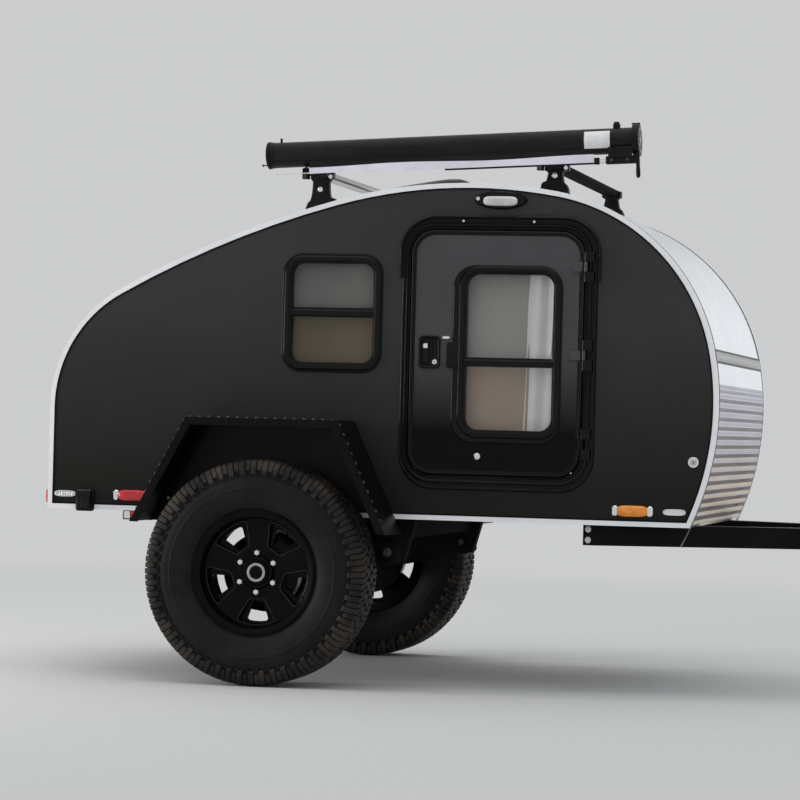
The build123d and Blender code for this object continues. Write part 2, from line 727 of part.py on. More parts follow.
# Paddle latch in its recess, with the lock barrel
LATCH = (522.0, 600.0, 540.0, 657.0)
LATCH_RIM = 9.0
LATCH_H = 8.0
PADDLE = (536.0, 560.0, 559.0, 641.0)
BARREL_X = 580.0
BARREL_H = 563.0
with BuildPart() as door_latch_right:
    with BuildSketch(SIDE.offset(DOOR_FACE)):
        panel(*LATCH, 17)
    extrude(amount=1.5)
    ring(DOOR_FACE, LATCH, 17, grown(LATCH, (-LATCH_RIM,) * 4), 9, LATCH_H)
    with BuildSketch(SIDE.offset(DOOR_FACE)):
        panel(*PADDLE, 7)
    extrude(amount=10, taper=8)
    with BuildSketch(SIDE.offset(DOOR_FACE)):
        with Locations((BARREL_X, BARREL_H)):
            Circle(8.5)
    extrude(amount=LATCH_H)
door_latch_right.part.label = "door_latch_right"
export_step(door_latch_right.part, "parts/door_latch_right.step")

with BuildPart() as door_latch_left:
    mirror(door_latch_right.part, about=Plane.XZ)
door_latch_left.part.label = "door_latch_left"
export_step(door_latch_left.part, "parts/door_latch_left.step")

# Fixed windows behind the doors
with BuildPart() as side_windows:
    window_frame(SIDE_PANE, SIDE_RAD, SIDE_BEAD, HALF_OUT, SIDE_MULLION)
    mirror(about=Plane.XZ)
side_windows.part.label = "side_windows"
export_step(side_windows.part, "parts/side_windows.step")

with BuildPart() as side_glass:
    window_glass(SIDE_PANE, SIDE_RAD, HALF_OUT)
    mirror(about=Plane.XZ)
side_glass.part.label = "side_glass"
export_step(side_glass.part, "parts/side_glass.step")

# Porch lamp: almond base and domed lens
PORCH_X = 806.0
PORCH_L = 190.0
PORCH_W = 66.0
PORCH_GAP = 3.0
PORCH_BASE_T = 6.0
PORCH_LENS_L = 126.0
PORCH_LENS_W = 40.0
PORCH_LENS_T = 10.0
# To the whole millimetre below the roof's edge moulding
PORCH_H = round(roof_h(PORCH_X) - TRIM_W) - PORCH_GAP - PORCH_W / 2
with BuildPart() as porch_lamps:
    with BuildSketch(SIDE.offset(HALF_OUT)):
        with Locations((PORCH_X, PORCH_H)):
            Ellipse(PORCH_L / 2, PORCH_W / 2)
    extrude(amount=PORCH_BASE_T)
    with BuildSketch(SIDE.offset(HALF_OUT + PORCH_BASE_T)):
        with Locations((PORCH_X, PORCH_H)):
            Ellipse(PORCH_L / 2 - 5, PORCH_W / 2 - 4)
    extrude(amount=PORCH_BASE_T)
    with BuildSketch(SIDE.offset(HALF_OUT + 2 * PORCH_BASE_T)):
        with Locations((PORCH_X, PORCH_H)):
            SlotOverall(PORCH_LENS_L, PORCH_LENS_W)
    extrude(amount=PORCH_LENS_T, taper=35)
    mirror(about=Plane.XZ)
porch_lamps.part.label = "porch_lamps"
export_step(porch_lamps.part, "parts/porch_lamps.step")

# Side marker lamps on a base plate
MARKER_L = 151.0
MARKER_W = 44.0
AMBER_X = 1305.5
RED_X = -530.5
AMBER_H = 52.0
RED_H = 53.0


def marker_lamp(x, height):
    with BuildSketch(SIDE.offset(HALF_OUT)) as base:
        with Locations((x, height)):
            RectangleRounded(MARKER_L, MARKER_W, 18)
    extrude(base.sketch, amount=5)
    with BuildSketch(SIDE.offset(HALF_OUT + 5)) as ends:
        with Locations((x, height)):
            RectangleRounded(MARKER_L - 4, MARKER_W - 8, 14)
    extrude(ends.sketch, amount=5, taper=20)
    with BuildSketch(SIDE.offset(HALF_OUT + 5)) as lens:
        with Locations((x, height)):
            RectangleRounded(MARKER_L - 38, MARKER_W - 6, 6)
    extrude(lens.sketch, amount=13, taper=12)


with BuildPart() as amber_markers:
    marker_lamp(AMBER_X, AMBER_H)
    mirror(about=Plane.XZ)
amber_markers.part.label = "amber_markers"
export_step(amber_markers.part, "parts/amber_markers.step")

with BuildPart() as red_markers:
    marker_lamp(RED_X, RED_H)
    mirror(about=Plane.XZ)
red_markers.part.label = "red_markers"
export_step(red_markers.part, "parts/red_markers.step")

# Tail lamps beside the hatch
TAIL_IN = 122.0
TAIL_Y = HALF_OUT - TAIL_IN
TAIL_H = 41.0
TAIL_L = 150.0
TAIL_W = 62.0
TAIL_BASE_T = 8.0
TAIL_LENS_T = 18.0
with BuildPart() as tail_lamps:
    with BuildSketch(CROSS.offset(REAR_X)):
        with Locations((-TAIL_Y, TAIL_H)):
            RectangleRounded(TAIL_L, TAIL_W, 20)
    extrude(amount=-TAIL_BASE_T)
    with BuildSketch(CROSS.offset(REAR_X - TAIL_BASE_T)):
        with Locations((-TAIL_Y, TAIL_H)):
            RectangleRounded(TAIL_L - 8, TAIL_W - 8, 16)
    extrude(amount=-TAIL_LENS_T, taper=8)
    mirror(about=Plane.XZ)
tail_lamps.part.label = "tail_lamps"
export_step(tail_lamps.part, "parts/tail_lamps.step")

# Plated oblong vents and round key locks
VENT_SLOT_L = 82.0
VENT_SLOT_W = 24.0
# Columns: middle of each vent, height
SLOT_VENTS = ((1455.0, 52.0), (-788.0, 53.0))
LOCK_X = 1518.0
LOCK_H = 230.0
with BuildPart() as side_fittings:
    for x, height in SLOT_VENTS:
        with BuildSketch(SIDE.offset(HALF_OUT)):
            with Locations((x, height)):
                SlotOverall(VENT_SLOT_L, VENT_SLOT_W)
        extrude(amount=2.2)
        with BuildSketch(SIDE.offset(HALF_OUT)):
            with Locations((x, height)):
                SlotOverall(VENT_SLOT_L, VENT_SLOT_W)
                SlotOverall(VENT_SLOT_L - 10, VENT_SLOT_W - 10, mode=Mode.SUBTRACT)
        extrude(amount=5.2)
    with BuildSketch(SIDE.offset(HALF_OUT)):
        with Locations((LOCK_X, LOCK_H)):
            Circle(20)
    extrude(amount=3)
    with BuildSketch(SIDE.offset(HALF_OUT + 3)):
        with Locations((LOCK_X, LOCK_H)):
            Circle(19)
            Circle(12, mode=Mode.SUBTRACT)
    extrude(amount=3)
    with BuildSketch(SIDE.offset(HALF_OUT + 3)):
        with Locations((LOCK_X, LOCK_H)):
            Circle(10)
    extrude(amount=4)
    mirror(about=Plane.XZ)
side_fittings.part.label = "side_fittings"
export_step(side_fittings.part, "parts/side_fittings.step")

# Power inlet over the bottom moulding: flange, box and hinged cover
INLET = (-745.0, -676.0, -9.0, 69.0)
INLET_T = 9.0
with BuildPart() as power_inlet:
    with BuildSketch(SIDE.offset(HALF_OUT + TRIM_T)):
        panel(*INLET, 9)
    extrude(amount=INLET_T)
    with BuildSketch(SIDE.offset(HALF_OUT + TRIM_T + INLET_T)):
        panel(*grown(INLET, (-7.0, -7.0, -8.0, -6.0)), 8)
    extrude(amount=21, taper=4)
    inlet_y = -HALF_OUT - TRIM_T
    box(INLET[0] + 5, INLET[1] - 5, inlet_y - 32, inlet_y - INLET_T, INLET[3] - 24, INLET[3] - 4)
power_inlet.part.label = "power_inlet"
export_step(power_inlet.part, "parts/power_inlet.step")

# Folded sheet fenders with an outer flange, a wall flange and a foot plate behind
FENDER_T = 4.0
FENDER_LIP = 28.0
FENDER_W = TYRE_GAP + TYRE_W - 21.5
FENDER_Y = HALF_OUT + FENDER_W
# Corners in side view, heights from the ground
FENDER_PATH = ((-461.0, 570.0), (-263.0, 948.0), (290.0, 948.0), (474.0, 550.0))
FOOT_PLATE = (-565.0, -452.0, -35.0, -2.5)


def fender_band(depth):
    # The folded strip in side view, with a depth towards the wheel.
    path = [(x, z - BASE_Z) for x, z in FENDER_PATH]
    with BuildSketch() as strip:
        with BuildLine():
            Polyline(*path, close=True)
        make_face()
        with BuildLine():
            Polyline(
                (path[0][0] + depth * 1.129, path[0][1] - 60),
                (path[0][0] + depth * 1.129, path[0][1]),
                (path[1][0] + depth * 0.605, path[1][1] - depth),
                (path[2][0] - depth * 0.640, path[2][1] - depth),
                (path[3][0] - depth * 1.102, path[3][1]),
                (path[3][0] - depth * 1.102, path[3][1] - 60),
                close=True,
            )
        make_face(mode=Mode.SUBTRACT)
    return strip.sketch


with BuildPart() as fenders:
    # Columns: plane, depth towards the wheel, length
    for start_y, depth, length in (
        (HALF_OUT, FENDER_T, FENDER_W),
        (FENDER_Y - FENDER_T, FENDER_LIP, FENDER_T),
        (HALF_OUT, FENDER_LIP, FENDER_T),
    ):
        with BuildSketch(SIDE.offset(start_y)):
            add(fender_band(depth))
        extrude(amount=length)
    rear_end, front_end = FENDER_PATH[0], FENDER_PATH[3]
    low = front_end[1] - BASE_Z - FENDER_LIP
    box(rear_end[0], front_end[0], -HALF_OUT - TRIM_T, -HALF_OUT, low, TRIM_W, mode=Mode.SUBTRACT)
    with BuildSketch(SIDE.offset(HALF_OUT + TRIM_T)):
        panel(*FOOT_PLATE, 3)
    extrude(amount=FENDER_T)
    mirror(about=Plane.XZ)
fenders.part.label = "fenders"
export_step(fenders.part, "parts/fenders.step")

# Wheels: rim with hub, drum, spokes and pockets, and the tyre out to its tread
WHEEL = Plane(origin=(AXLE_X, 0, TYRE_R), x_dir=(0, -1, 0), z_dir=(-1, 0, 0))
SPIN = Axis((AXLE_X, 0, TYRE_R), (0, 1, 0))
HUB = Plane(origin=(AXLE_X, 0, TYRE_R), x_dir=(1, 0, 0), z_dir=(0, -1, 0))
DRUM_Y = PLATE_Y0 + PLATE_T + 6
DRUM_R = 138.0
BORE_END = PLATE_Y0 + PLATE_T + SPINDLE_L + 4.0
LIP_Y = TRACK_Y + FLANGE_Y + FLANGE_T
SPOKES = 5
FIRST_WINDOW = 54.0
POCKET_D = 15.0
LUGS = 6
LUG_R = 11.5
LUG_L = 18.0
HUB_R = 60.0
HUB_L = 18.0
CAP_R = 46.0
CAP_L = 9.0
# Openings between the spokes: foot and head radius, half width at hub and barrel, corner
POCKET = (96.0, 186.0, 9.0, 82.0, 12.0)
WINDOW = (104.0, 174.0, 1.0, 48.0, 9.0)


def hub_openings(sizes):
    # One opening between each two spokes, its ends round the hub.
    foot_r, head_r, near, far, corner = sizes
    with BuildSketch() as openings:
        with PolarLocations(0, SPOKES, start_angle=FIRST_WINDOW):
            Polygon((HUB_R, -near), (BARREL_R, -far), (BARREL_R, far), (HUB_R, near), align=None)
        Circle(head_r, mode=Mode.INTERSECT)
        Circle(foot_r, mode=Mode.SUBTRACT)
        fillet(openings.vertices(), corner)
    return openings.sketch


with BuildPart() as rim_right:
    with BuildSketch(WHEEL):
        with BuildLine():
            Polyline(
                (TRACK_Y - FLANGE_Y - FLANGE_T, BARREL_R),
                (TRACK_Y - FLANGE_Y - FLANGE_T, FLANGE_R),
                (TRACK_Y - FLANGE_Y, FLANGE_R),
                (TRACK_Y - FLANGE_Y, BEAD_R),
                (TRACK_Y + FLANGE_Y, BEAD_R),
                (TRACK_Y + FLANGE_Y, FLANGE_R),
                (LIP_Y, FLANGE_R),
                (LIP_Y, FLANGE_R - 8),
                (LIP_Y - FLANGE_T, BEAD_R - 5),
                (LIP_Y - 24, BARREL_R + 3),
                (DISC_Y1 + 14, BARREL_R),
                (DISC_Y1 + 10, 150),
                (DISC_Y1, 92),
                (DISC_Y1, HUB_R),
                (DISC_Y1 + HUB_L - 2, HUB_R - 4),
                (DISC_Y1 + HUB_L, HUB_R - 7),
                (DISC_Y1 + HUB_L, 0),
                (BORE_END, 0),
                (BORE_END, SPINDLE_R + SPINDLE_FIT),
                (DRUM_Y, SPINDLE_R + SPINDLE_FIT),
                (DRUM_Y, DRUM_R),
                (DRUM_Y + 78, DRUM_R),
                (DISC_Y0, 84),
                (DISC_Y0, BARREL_R),
                close=True,
            )
        make_face()
    revolve(axis=SPIN)
    with BuildSketch(HUB.offset(DISC_Y1 + HUB_L)):
        add(hub_openings(POCKET))
    extrude(amount=-HUB_L - POCKET_D, mode=Mode.SUBTRACT)
    with BuildSketch(HUB.offset(DISC_Y1)):
        add(hub_openings(WINDOW))
    extrude(amount=DISC_Y0 - DISC_Y1 - 1, mode=Mode.SUBTRACT)
    with BuildSketch(HUB.offset(DISC_Y1)):
        with PolarLocations(LUG_PCD / 2, LUGS, start_angle=90):
            RegularPolygon(LUG_R, 6)
    extrude(amount=LUG_L)
    with BuildSketch(HUB.offset(DISC_Y1 + HUB_L)):
        Circle(CAP_R)
    extrude(amount=CAP_L, taper=20)
rim_right.part.label = "rim_right"
export_step(rim_right.part, "parts/rim_right.step")

with BuildPart() as rim_left:
    mirror(rim_right.part, about=Plane.XZ)
rim_left.part.label = "rim_left"
export_step(rim_left.part, "parts/rim_left.step")

# Half section of the tyre. Columns: distance from its middle plane, radius
BEAD_FIT = 0.3
BEAD_SIDE = FLANGE_Y - 1.0
HALF_TYRE = TYRE_W / 2
SIDEWALL = (
    (BEAD_SIDE, BEAD_R + BEAD_FIT),
    (BEAD_SIDE, FLANGE_R + 2),
    (HALF_TYRE - 22, FLANGE_R + 11),
    (HALF_TYRE - 4, TYRE_R - 119),
    (HALF_TYRE, TYRE_R - 100),
    (HALF_TYRE - 2, TYRE_R - 52),
    (HALF_TYRE - 6, TYRE_R - 18),
    (HALF_TYRE - 18, TYRE_R - 6),
    (HALF_TYRE - 50, TYRE_R - 1),
)
with BuildPart() as tyre_right:
    with BuildSketch(WHEEL):
        with BuildLine():
            outer_side = [(TRACK_Y + w, r) for w, r in SIDEWALL]
            inner_side = [(TRACK_Y - w, r) for w, r in reversed(SIDEWALL)]
            Polyline(*outer_side, (TRACK_Y, TYRE_R), *inner_side, close=True)
        make_face()
    revolve(axis=SPIN)
tyre_right.part.label = "tyre_right"
export_step(tyre_right.part, "parts/tyre_right.step")

with BuildPart() as tyre_left:
    mirror(tyre_right.part, about=Plane.XZ)
tyre_left.part.label = "tyre_left"
export_step(tyre_left.part, "parts/tyre_left.step")

# Roof rack: four stepped feet and two crossbars
# Columns: middle length of the bar, its rise over the roof, foot length
RACK = ((125.0, 121.89, 110.0), (985.0, 94.21, 100.0))
BARS = [(x, roof_h(x) + rise, length) for x, rise, length in RACK]
# Steps of a foot. Columns: how much shorter than the foot at each end, rise over the roof
FOOT_STEPS = ((0.0, 24.0), (12.0, 36.0))
FOOT_IN = 90.0
FOOT_Y = HALF_OUT - FOOT_IN
FOOT_W = 52.0
TOWER_W = 42.0
TOWER_L = 62.0
JAW_T = 7.0
BAR_H = 26.0
BAR_W = 60.0
BAR_SLOT = 11.0
BAR_IN = 27.0
BAR_Y = HALF_OUT - BAR_IN
with BuildPart() as rack_feet:
    for bar_x, bar_h, foot_l in BARS:
        bar_foot = bar_h - BAR_H / 2
        steps = [(foot_l / 2 - less, roof_h(bar_x) + rise, FOOT_W) for less, rise in FOOT_STEPS]
        steps.append((TOWER_L / 2, bar_foot, TOWER_W))
        for half_l, head, width in steps:
            low = min(roof_h(bar_x - half_l), roof_h(bar_x + half_l)) - 1
            with BuildSketch(SIDE.offset(FOOT_Y - width / 2)):
                with Locations((bar_x, (low + head) / 2)):
                    Rectangle(2 * half_l, head - low)
                add(OUTER, mode=Mode.SUBTRACT)
            extrude(amount=width)
        jaw_sides = (-FOOT_Y - TOWER_W / 2, -FOOT_Y + TOWER_W / 2)
        for side in (-1, 1):
            edge = bar_x + side * (BAR_W / 2 + JAW_T / 2)
            box(edge - JAW_T / 2, edge + JAW_T / 2, *jaw_sides, bar_foot - 4, bar_h + 8)
        half_jaw = BAR_W / 2 + JAW_T
        box(bar_x - half_jaw, bar_x + half_jaw, *jaw_sides, bar_foot - 8, bar_foot)
    mirror(about=Plane.XZ)
rack_feet.part.label = "rack_feet"
export_step(rack_feet.part, "parts/rack_feet.step")

with BuildPart() as crossbars:
    for bar_x, bar_h, foot_l in BARS:
        with BuildSketch(SIDE.offset(-BAR_Y)):
            with Locations((bar_x, bar_h)):
                RectangleRounded(BAR_W, BAR_H, 10)
            with Locations((bar_x, bar_h + BAR_H / 2)):
                Rectangle(BAR_SLOT, 4, mode=Mode.SUBTRACT)
        extrude(amount=2 * BAR_Y)
crossbars.part.label = "crossbars"
export_step(crossbars.part, "parts/crossbars.step")

# Rolled awning in its round case on the right ends of the bars, higher in front
AWN_IN = 62.0
AWN_Y = AWN_IN - HALF_OUT
AWN_X0 = -60.0
AWN_L = 1341.5
AWN_TILT = 2.86
AWN_R = 47.0
AWN_RISE = 66.6
AWN_H0 = BARS[0][1] + AWN_RISE
AWN_SEAT = 0.3
AWN_REAR = (AXLE_X + AWN_X0, AWN_Y, BASE_Z + AWN_H0)
AWN = Plane(origin=AWN_REAR, x_dir=(0, 1, 0), z_dir=(1, 0, 0)).rotated((0, -AWN_TILT, 0))
with BuildPart() as awning_case:
    with BuildSketch(AWN):
        Circle(AWN_R)
    extrude(amount=AWN_L)
awning_case.part.label = "awning_case"
export_step(awning_case.part, "parts/awning_case.step")

# End caps of the case, the front one with its folded arm, hanging handle and top knob
REAR_CAP_T = 10.0
FRONT_CAP_T = 12.0
REAR_CAP_R = AWN_R + 3.0
FRONT_CAP_R = AWN_R + 13.0
ARM_Y = -36.0
ARM_W = 22.0
ARM_H0 = -85.0
ARM_H1 = -55.0
ARM_L = 108.0
HANDLE_W = 20.0
HANDLE_H0 = -137.0
KNOB_BACK = 84.0
KNOB_L = 24.0
KNOB_HEAD = AWN_R + 21.5
with BuildPart() as awning_ends:
    with BuildSketch(AWN.offset(-REAR_CAP_T)):
        Circle(REAR_CAP_R)
    extrude(amount=REAR_CAP_T)
    with BuildSketch(AWN.offset(AWN_L)):
        Circle(FRONT_CAP_R)
        with Locations((ARM_Y, (HANDLE_H0 + ARM_H1 + 15) / 2)):
            Rectangle(HANDLE_W, ARM_H1 + 15 - HANDLE_H0)
    extrude(amount=FRONT_CAP_T)
    with BuildSketch(AWN.offset(AWN_L - ARM_L)):
        with Locations((ARM_Y, (ARM_H0 + ARM_H1) / 2)):
            Rectangle(ARM_W, ARM_H1 - ARM_H0)
    extrude(amount=ARM_L + FRONT_CAP_T)
    with BuildSketch(AWN.offset(AWN_L - KNOB_BACK)):
        with Locations((0, KNOB_HEAD - 13)):
            Rectangle(KNOB_L, 26)
        Circle(AWN_R + AWN_SEAT, mode=Mode.SUBTRACT)
    extrude(amount=KNOB_L)
awning_ends.part.label = "awning_ends"
export_step(awning_ends.part, "parts/awning_ends.step")

# Brackets that carry the awning on the crossbars: a plate with a leg on each side of the bar,
# and a cradle hollowed for the case
BRACKET_W = 44.0
BRACKET_FOOT = 36.0
BRACKET_HEAD = 31.0
BRACKET_H = 34.0
SADDLE_T = 7.0
PLATE_HALF_L = 58.0
LEG_IN = 36.0
LEG_D = 30.0
LEG_H = 32.0
with BuildPart() as awning_brackets:
    for bar_x, bar_h, foot_l in BARS:
        plate_h = bar_h + BAR_H / 2
        plate_sides = (AWN_Y - BRACKET_FOOT, AWN_Y + BRACKET_FOOT)
        box(bar_x - PLATE_HALF_L, bar_x + PLATE_HALF_L, *plate_sides, plate_h, plate_h + SADDLE_T)
        leg_sides = (plate_sides[0], plate_sides[0] + LEG_D)
        box(bar_x - PLATE_HALF_L, bar_x - LEG_IN, *leg_sides, plate_h - LEG_H, plate_h)
        box(bar_x + LEG_IN, bar_x + PLATE_HALF_L, *leg_sides, plate_h - LEG_H, plate_h)
        with BuildSketch(CROSS.offset(bar_x - BRACKET_W / 2)):
            with BuildLine():
                foot = bar_h + BAR_H / 2
                Polyline(
                    (AWN_Y - BRACKET_FOOT, foot),
                    (AWN_Y - BRACKET_FOOT, foot + SADDLE_T),
                    (AWN_Y - BRACKET_HEAD, foot + BRACKET_H),
                    (AWN_Y + BRACKET_HEAD, foot + BRACKET_H),
                    (AWN_Y + BRACKET_FOOT, foot + SADDLE_T),
                    (AWN_Y + BRACKET_FOOT, foot),
                    close=True,
                )
            make_face()
        extrude(amount=BRACKET_W)
    with BuildSketch(AWN):
        Circle(AWN_R + AWN_SEAT)
    extrude(amount=AWN_L, mode=Mode.SUBTRACT)
awning_brackets.part.label = "awning_brackets"
export_step(awning_brackets.part, "parts/awning_brackets.step")

# Roof vent: base on the roof and a domed lid hinged at its front edge, both sloping with the roof
VENT_X0 = 205.0
VENT_X1 = 565.0
VENT_Y = 180.0
VENT_RISE = 15.88
VENT_SEAT_H = roof_h(VENT_X1) + VENT_RISE
VENT_RUN = VENT_X1 - VENT_X0
VENT_FALL = roof_h(VENT_X1) - roof_h(VENT_X0)
VENT_L = (VENT_RUN**2 + VENT_FALL**2) ** 0.5
VENT_SEAT = Plane(
    origin=(AXLE_X + VENT_X1, 0, BASE_Z + VENT_SEAT_H),
    x_dir=(VENT_RUN, 0, VENT_FALL),
    z_dir=(-VENT_FALL, 0, VENT_RUN),
)
LID_AXIS_X = VENT_X1 + 20.0
LID_AXIS_H = VENT_SEAT_H - 3.0
LUG_Y0 = 108.0
LUG_W = 14.0
LUG_GAP = 0.5
with BuildPart() as vent_base:
    with BuildSketch(SIDE.offset(-VENT_Y)):
        with BuildLine():
            low = roof_h(VENT_X0) - 1
            Polyline(
                (VENT_X0, low),
                (VENT_X1, low),
                (VENT_X1, VENT_SEAT_H),
                (VENT_X0, VENT_SEAT_H - VENT_FALL),
                close=True,
            )
        make_face()
        add(OUTER, mode=Mode.SUBTRACT)
    extrude(amount=2 * VENT_Y)
    box(VENT_X1 - 1, LID_AXIS_X + 7, LUG_Y0, LUG_Y0 + LUG_W, LID_AXIS_H - 8, LID_AXIS_H + 7)
    with BuildSketch(SIDE.offset(-LUG_Y0 - 2 * LUG_W)):
        with Locations((LID_AXIS_X, LID_AXIS_H)):
            Circle(PIN_R)
    extrude(amount=LUG_W)
    mirror(about=Plane.XZ)
vent_base.part.label = "vent_base"
export_step(vent_base.part, "parts/vent_base.step")

LID_LIFT = 5.0
LID_OVER = 14.0
LID_SKIRT = 13.0
LID_RAD = 40.0
# Rings of the dome. Columns: rise over the skirt, inset from its edge, corner radius
LID_RINGS = ((0.0, 0.0, LID_RAD), (26.0, 34.0, 50.0), (54.0, 110.0, 60.0))
with BuildPart() as vent_lid:
    with BuildSketch(VENT_SEAT.offset(LID_LIFT)):
        with Locations((-VENT_L / 2, 0)):
            RectangleRounded(VENT_L + 2 * LID_OVER, 2 * VENT_Y + 2 * LID_OVER, LID_RAD)
    extrude(amount=LID_SKIRT)
    for pair in zip(LID_RINGS, LID_RINGS[1:]):
        for rise, inset, radius in pair:
            with BuildSketch(VENT_SEAT.offset(LID_LIFT + LID_SKIRT + rise)):
                with Locations((-VENT_L / 2, 0)):
                    lid_l = VENT_L + 2 * LID_OVER - 2 * inset
                    RectangleRounded(lid_l, 2 * VENT_Y + 2 * LID_OVER - 2 * inset, radius)
        loft()
    for side in (-1, 1):
        near = LUG_Y0 + LUG_W + LUG_GAP
        far = LUG_Y0 + 2 * LUG_W
        box(
            VENT_X1 + 8,
            LID_AXIS_X + 6,
            min(side * near, side * far),
            max(side * near, side * far),
            LID_AXIS_H - 6,
            VENT_SEAT_H + LID_LIFT + 11,
        )
    for start_y in (-LUG_Y0 - 2 * LUG_W, LUG_Y0 + LUG_W):
        with BuildSketch(SIDE.offset(start_y)):
            with Locations((LID_AXIS_X, LID_AXIS_H)):
                Circle(PIN_R + PIN_FIT)
        extrude(amount=LUG_W, mode=Mode.SUBTRACT)
vent_lid.part.label = "vent_lid"
export_step(vent_lid.part, "parts/vent_lid.step")
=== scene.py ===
"""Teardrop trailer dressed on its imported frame, in mm from the wheel axle and the ground."""
import bisect
import math

import bmesh
import bpy
from mathutils import Matrix, Vector, noise


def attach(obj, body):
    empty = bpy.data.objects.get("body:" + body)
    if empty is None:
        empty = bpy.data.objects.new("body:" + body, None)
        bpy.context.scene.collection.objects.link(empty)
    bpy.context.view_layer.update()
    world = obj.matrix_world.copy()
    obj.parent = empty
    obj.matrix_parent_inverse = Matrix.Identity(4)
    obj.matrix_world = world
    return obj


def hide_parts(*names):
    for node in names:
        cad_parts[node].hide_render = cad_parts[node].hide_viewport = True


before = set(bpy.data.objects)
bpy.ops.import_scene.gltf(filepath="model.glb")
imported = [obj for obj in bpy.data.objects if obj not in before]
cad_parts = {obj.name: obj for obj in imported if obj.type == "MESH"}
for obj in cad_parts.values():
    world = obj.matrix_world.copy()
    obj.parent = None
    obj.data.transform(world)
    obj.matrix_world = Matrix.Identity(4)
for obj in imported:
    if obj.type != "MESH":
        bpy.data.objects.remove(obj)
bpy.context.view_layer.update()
scene = bpy.context.scene

AXLE_X = -0.8995
HALF_OUT = 762.0
HALF_IN = 737.0
DOOR_FACE = 768.0
REAR_X = -853.0
HIP_Z = 973.8
FOOT_Z = 603.0
TRACK = 925.0
TYRE_R = 401.5
HUB_FACE = 966.0
BARREL_R = 190.0
STUD_R = 69.85
CAP_RISE = 27.0
POCKET_R = (96.0, 186.0)
SIDES = ("right", "left")
# Arcs of the body outline from the rear hip over the roof. Columns: radius, turn in degrees
ARCS = ((494.6, 60.5), (3614.0, 13.9), (1823.0, 25.5), (705.0, 69.9), (1036.0, 38.5))
OUT = Vector((0, -1, 0))
UP = Vector((0, 0, 1))


def pt(x, y, z):
    return Vector((AXLE_X + x / 1000, y / 1000, z / 1000))


def lerp(a, b, share):
    return a + (b - a) * share


# Material tools. A node's inputs are numbers, colours or outputs of other nodes
materials = {}
SPEC = "Specular IOR Level"
COAT = "Coat Weight"
SHEEN = "Sheen Weight"
PLY = ((0.46, 0.3, 0.16), (0.66, 0.47, 0.28))
LINING_Y = 0.7385


def wire(tree, target, inputs):
    for key, value in inputs.items():
        if isinstance(value, bpy.types.NodeSocket):
            tree.links.new(value, target.inputs[key])
        else:
            target.inputs[key].default_value = value


def node(tree, kind, inputs=None, **settings):
    made = tree.nodes.new(kind)
    for key, value in settings.items():
        setattr(made, key, value)
    wire(tree, made, inputs or {})
    return made


def shader(name):
    material = bpy.data.materials.new(name)
    material.use_nodes = True
    materials[name] = material
    return material.node_tree, material.node_tree.nodes["Principled BSDF"]


def coords(tree, stretch=(1, 1, 1)):
    place = node(tree, "ShaderNodeTexCoord").outputs["Object"]
    return node(tree, "ShaderNodeMapping", {"Scale": stretch, "Vector": place}).outputs["Vector"]


def cloud(tree, at, scale, detail=4.0):
    inputs = {"Vector": at, "Scale": scale, "Detail": detail, "Roughness": 0.6}
    return node(tree, "ShaderNodeTexNoise", inputs).outputs["Fac"]


def ramp(tree, source, low, high, start=0.35, end=0.65):
    made = node(tree, "ShaderNodeValToRGB", {"Fac": source})
    for stop, place, color in zip(made.color_ramp.elements, (start, end), (low, high)):
        stop.position = place
        stop.color = (*color, 1)
    return made.outputs["Color"]


def remap(tree, source, low, high, start=0.3, end=0.7):
    return node(tree, "ShaderNodeMapRange", {0: source, 1: start, 2: end, 3: low, 4: high}).outputs[0]


def mix(tree, share, a, b):
    made = node(tree, "ShaderNodeMix", {"Factor": share, "A": a, "B": b}, data_type="RGBA")
    return made.outputs["Result"]


def figure(tree, operation, *values):
    return node(tree, "ShaderNodeMath", dict(enumerate(values)), operation=operation).outputs[0]


def part_of(tree, at, axis):
    return node(tree, "ShaderNodeSeparateXYZ", {0: at}).outputs[axis]


def height(tree, at, low, high):
    # Share from 0 at the low height to 1 at the high one, in metres.
    return remap(tree, part_of(tree, at, "Z"), 0.0, 1.0, low, high)


def relief(tree, source, target, strength, depth=0.0004, under=None):
    made = node(tree, "ShaderNodeBump", {"Height": source, "Strength": strength, "Distance": depth})
    if under:
        wire(tree, made, {"Normal": under})
    if target:
        wire(tree, target, {"Normal": made.outputs["Normal"]})
    return made.outputs["Normal"]


def grey(value, warm=0.0):
    return (value * (1 + warm), value, value * (1 - warm))


def plain(name, low, high, rough, scale, fine, bump, stretch=(1, 1, 1), edge=0.0, **fixed):
    # Two tones in slow clouds, a fine grain in relief, softened edges and fixed shader values.
    tree, surface = shader(name)
    at = coords(tree, stretch)
    slow = cloud(tree, at, scale, 5.0)
    tone = ramp(tree, slow, low, high)
    wire(tree, surface, {"Base Color": tone, "Roughness": remap(tree, slow, *rough), **fixed})
    soft = node(tree, "ShaderNodeBevel", {"Radius": edge}, samples=4).outputs["Normal"] if edge else None
    relief(tree, cloud(tree, at, fine, 2.0), surface, bump, under=soft)


def metal(name, low, high, rough, scale, fine, bump, **more):
    plain(name, low, high, rough, scale, fine, bump, Metallic=1.0, **more)


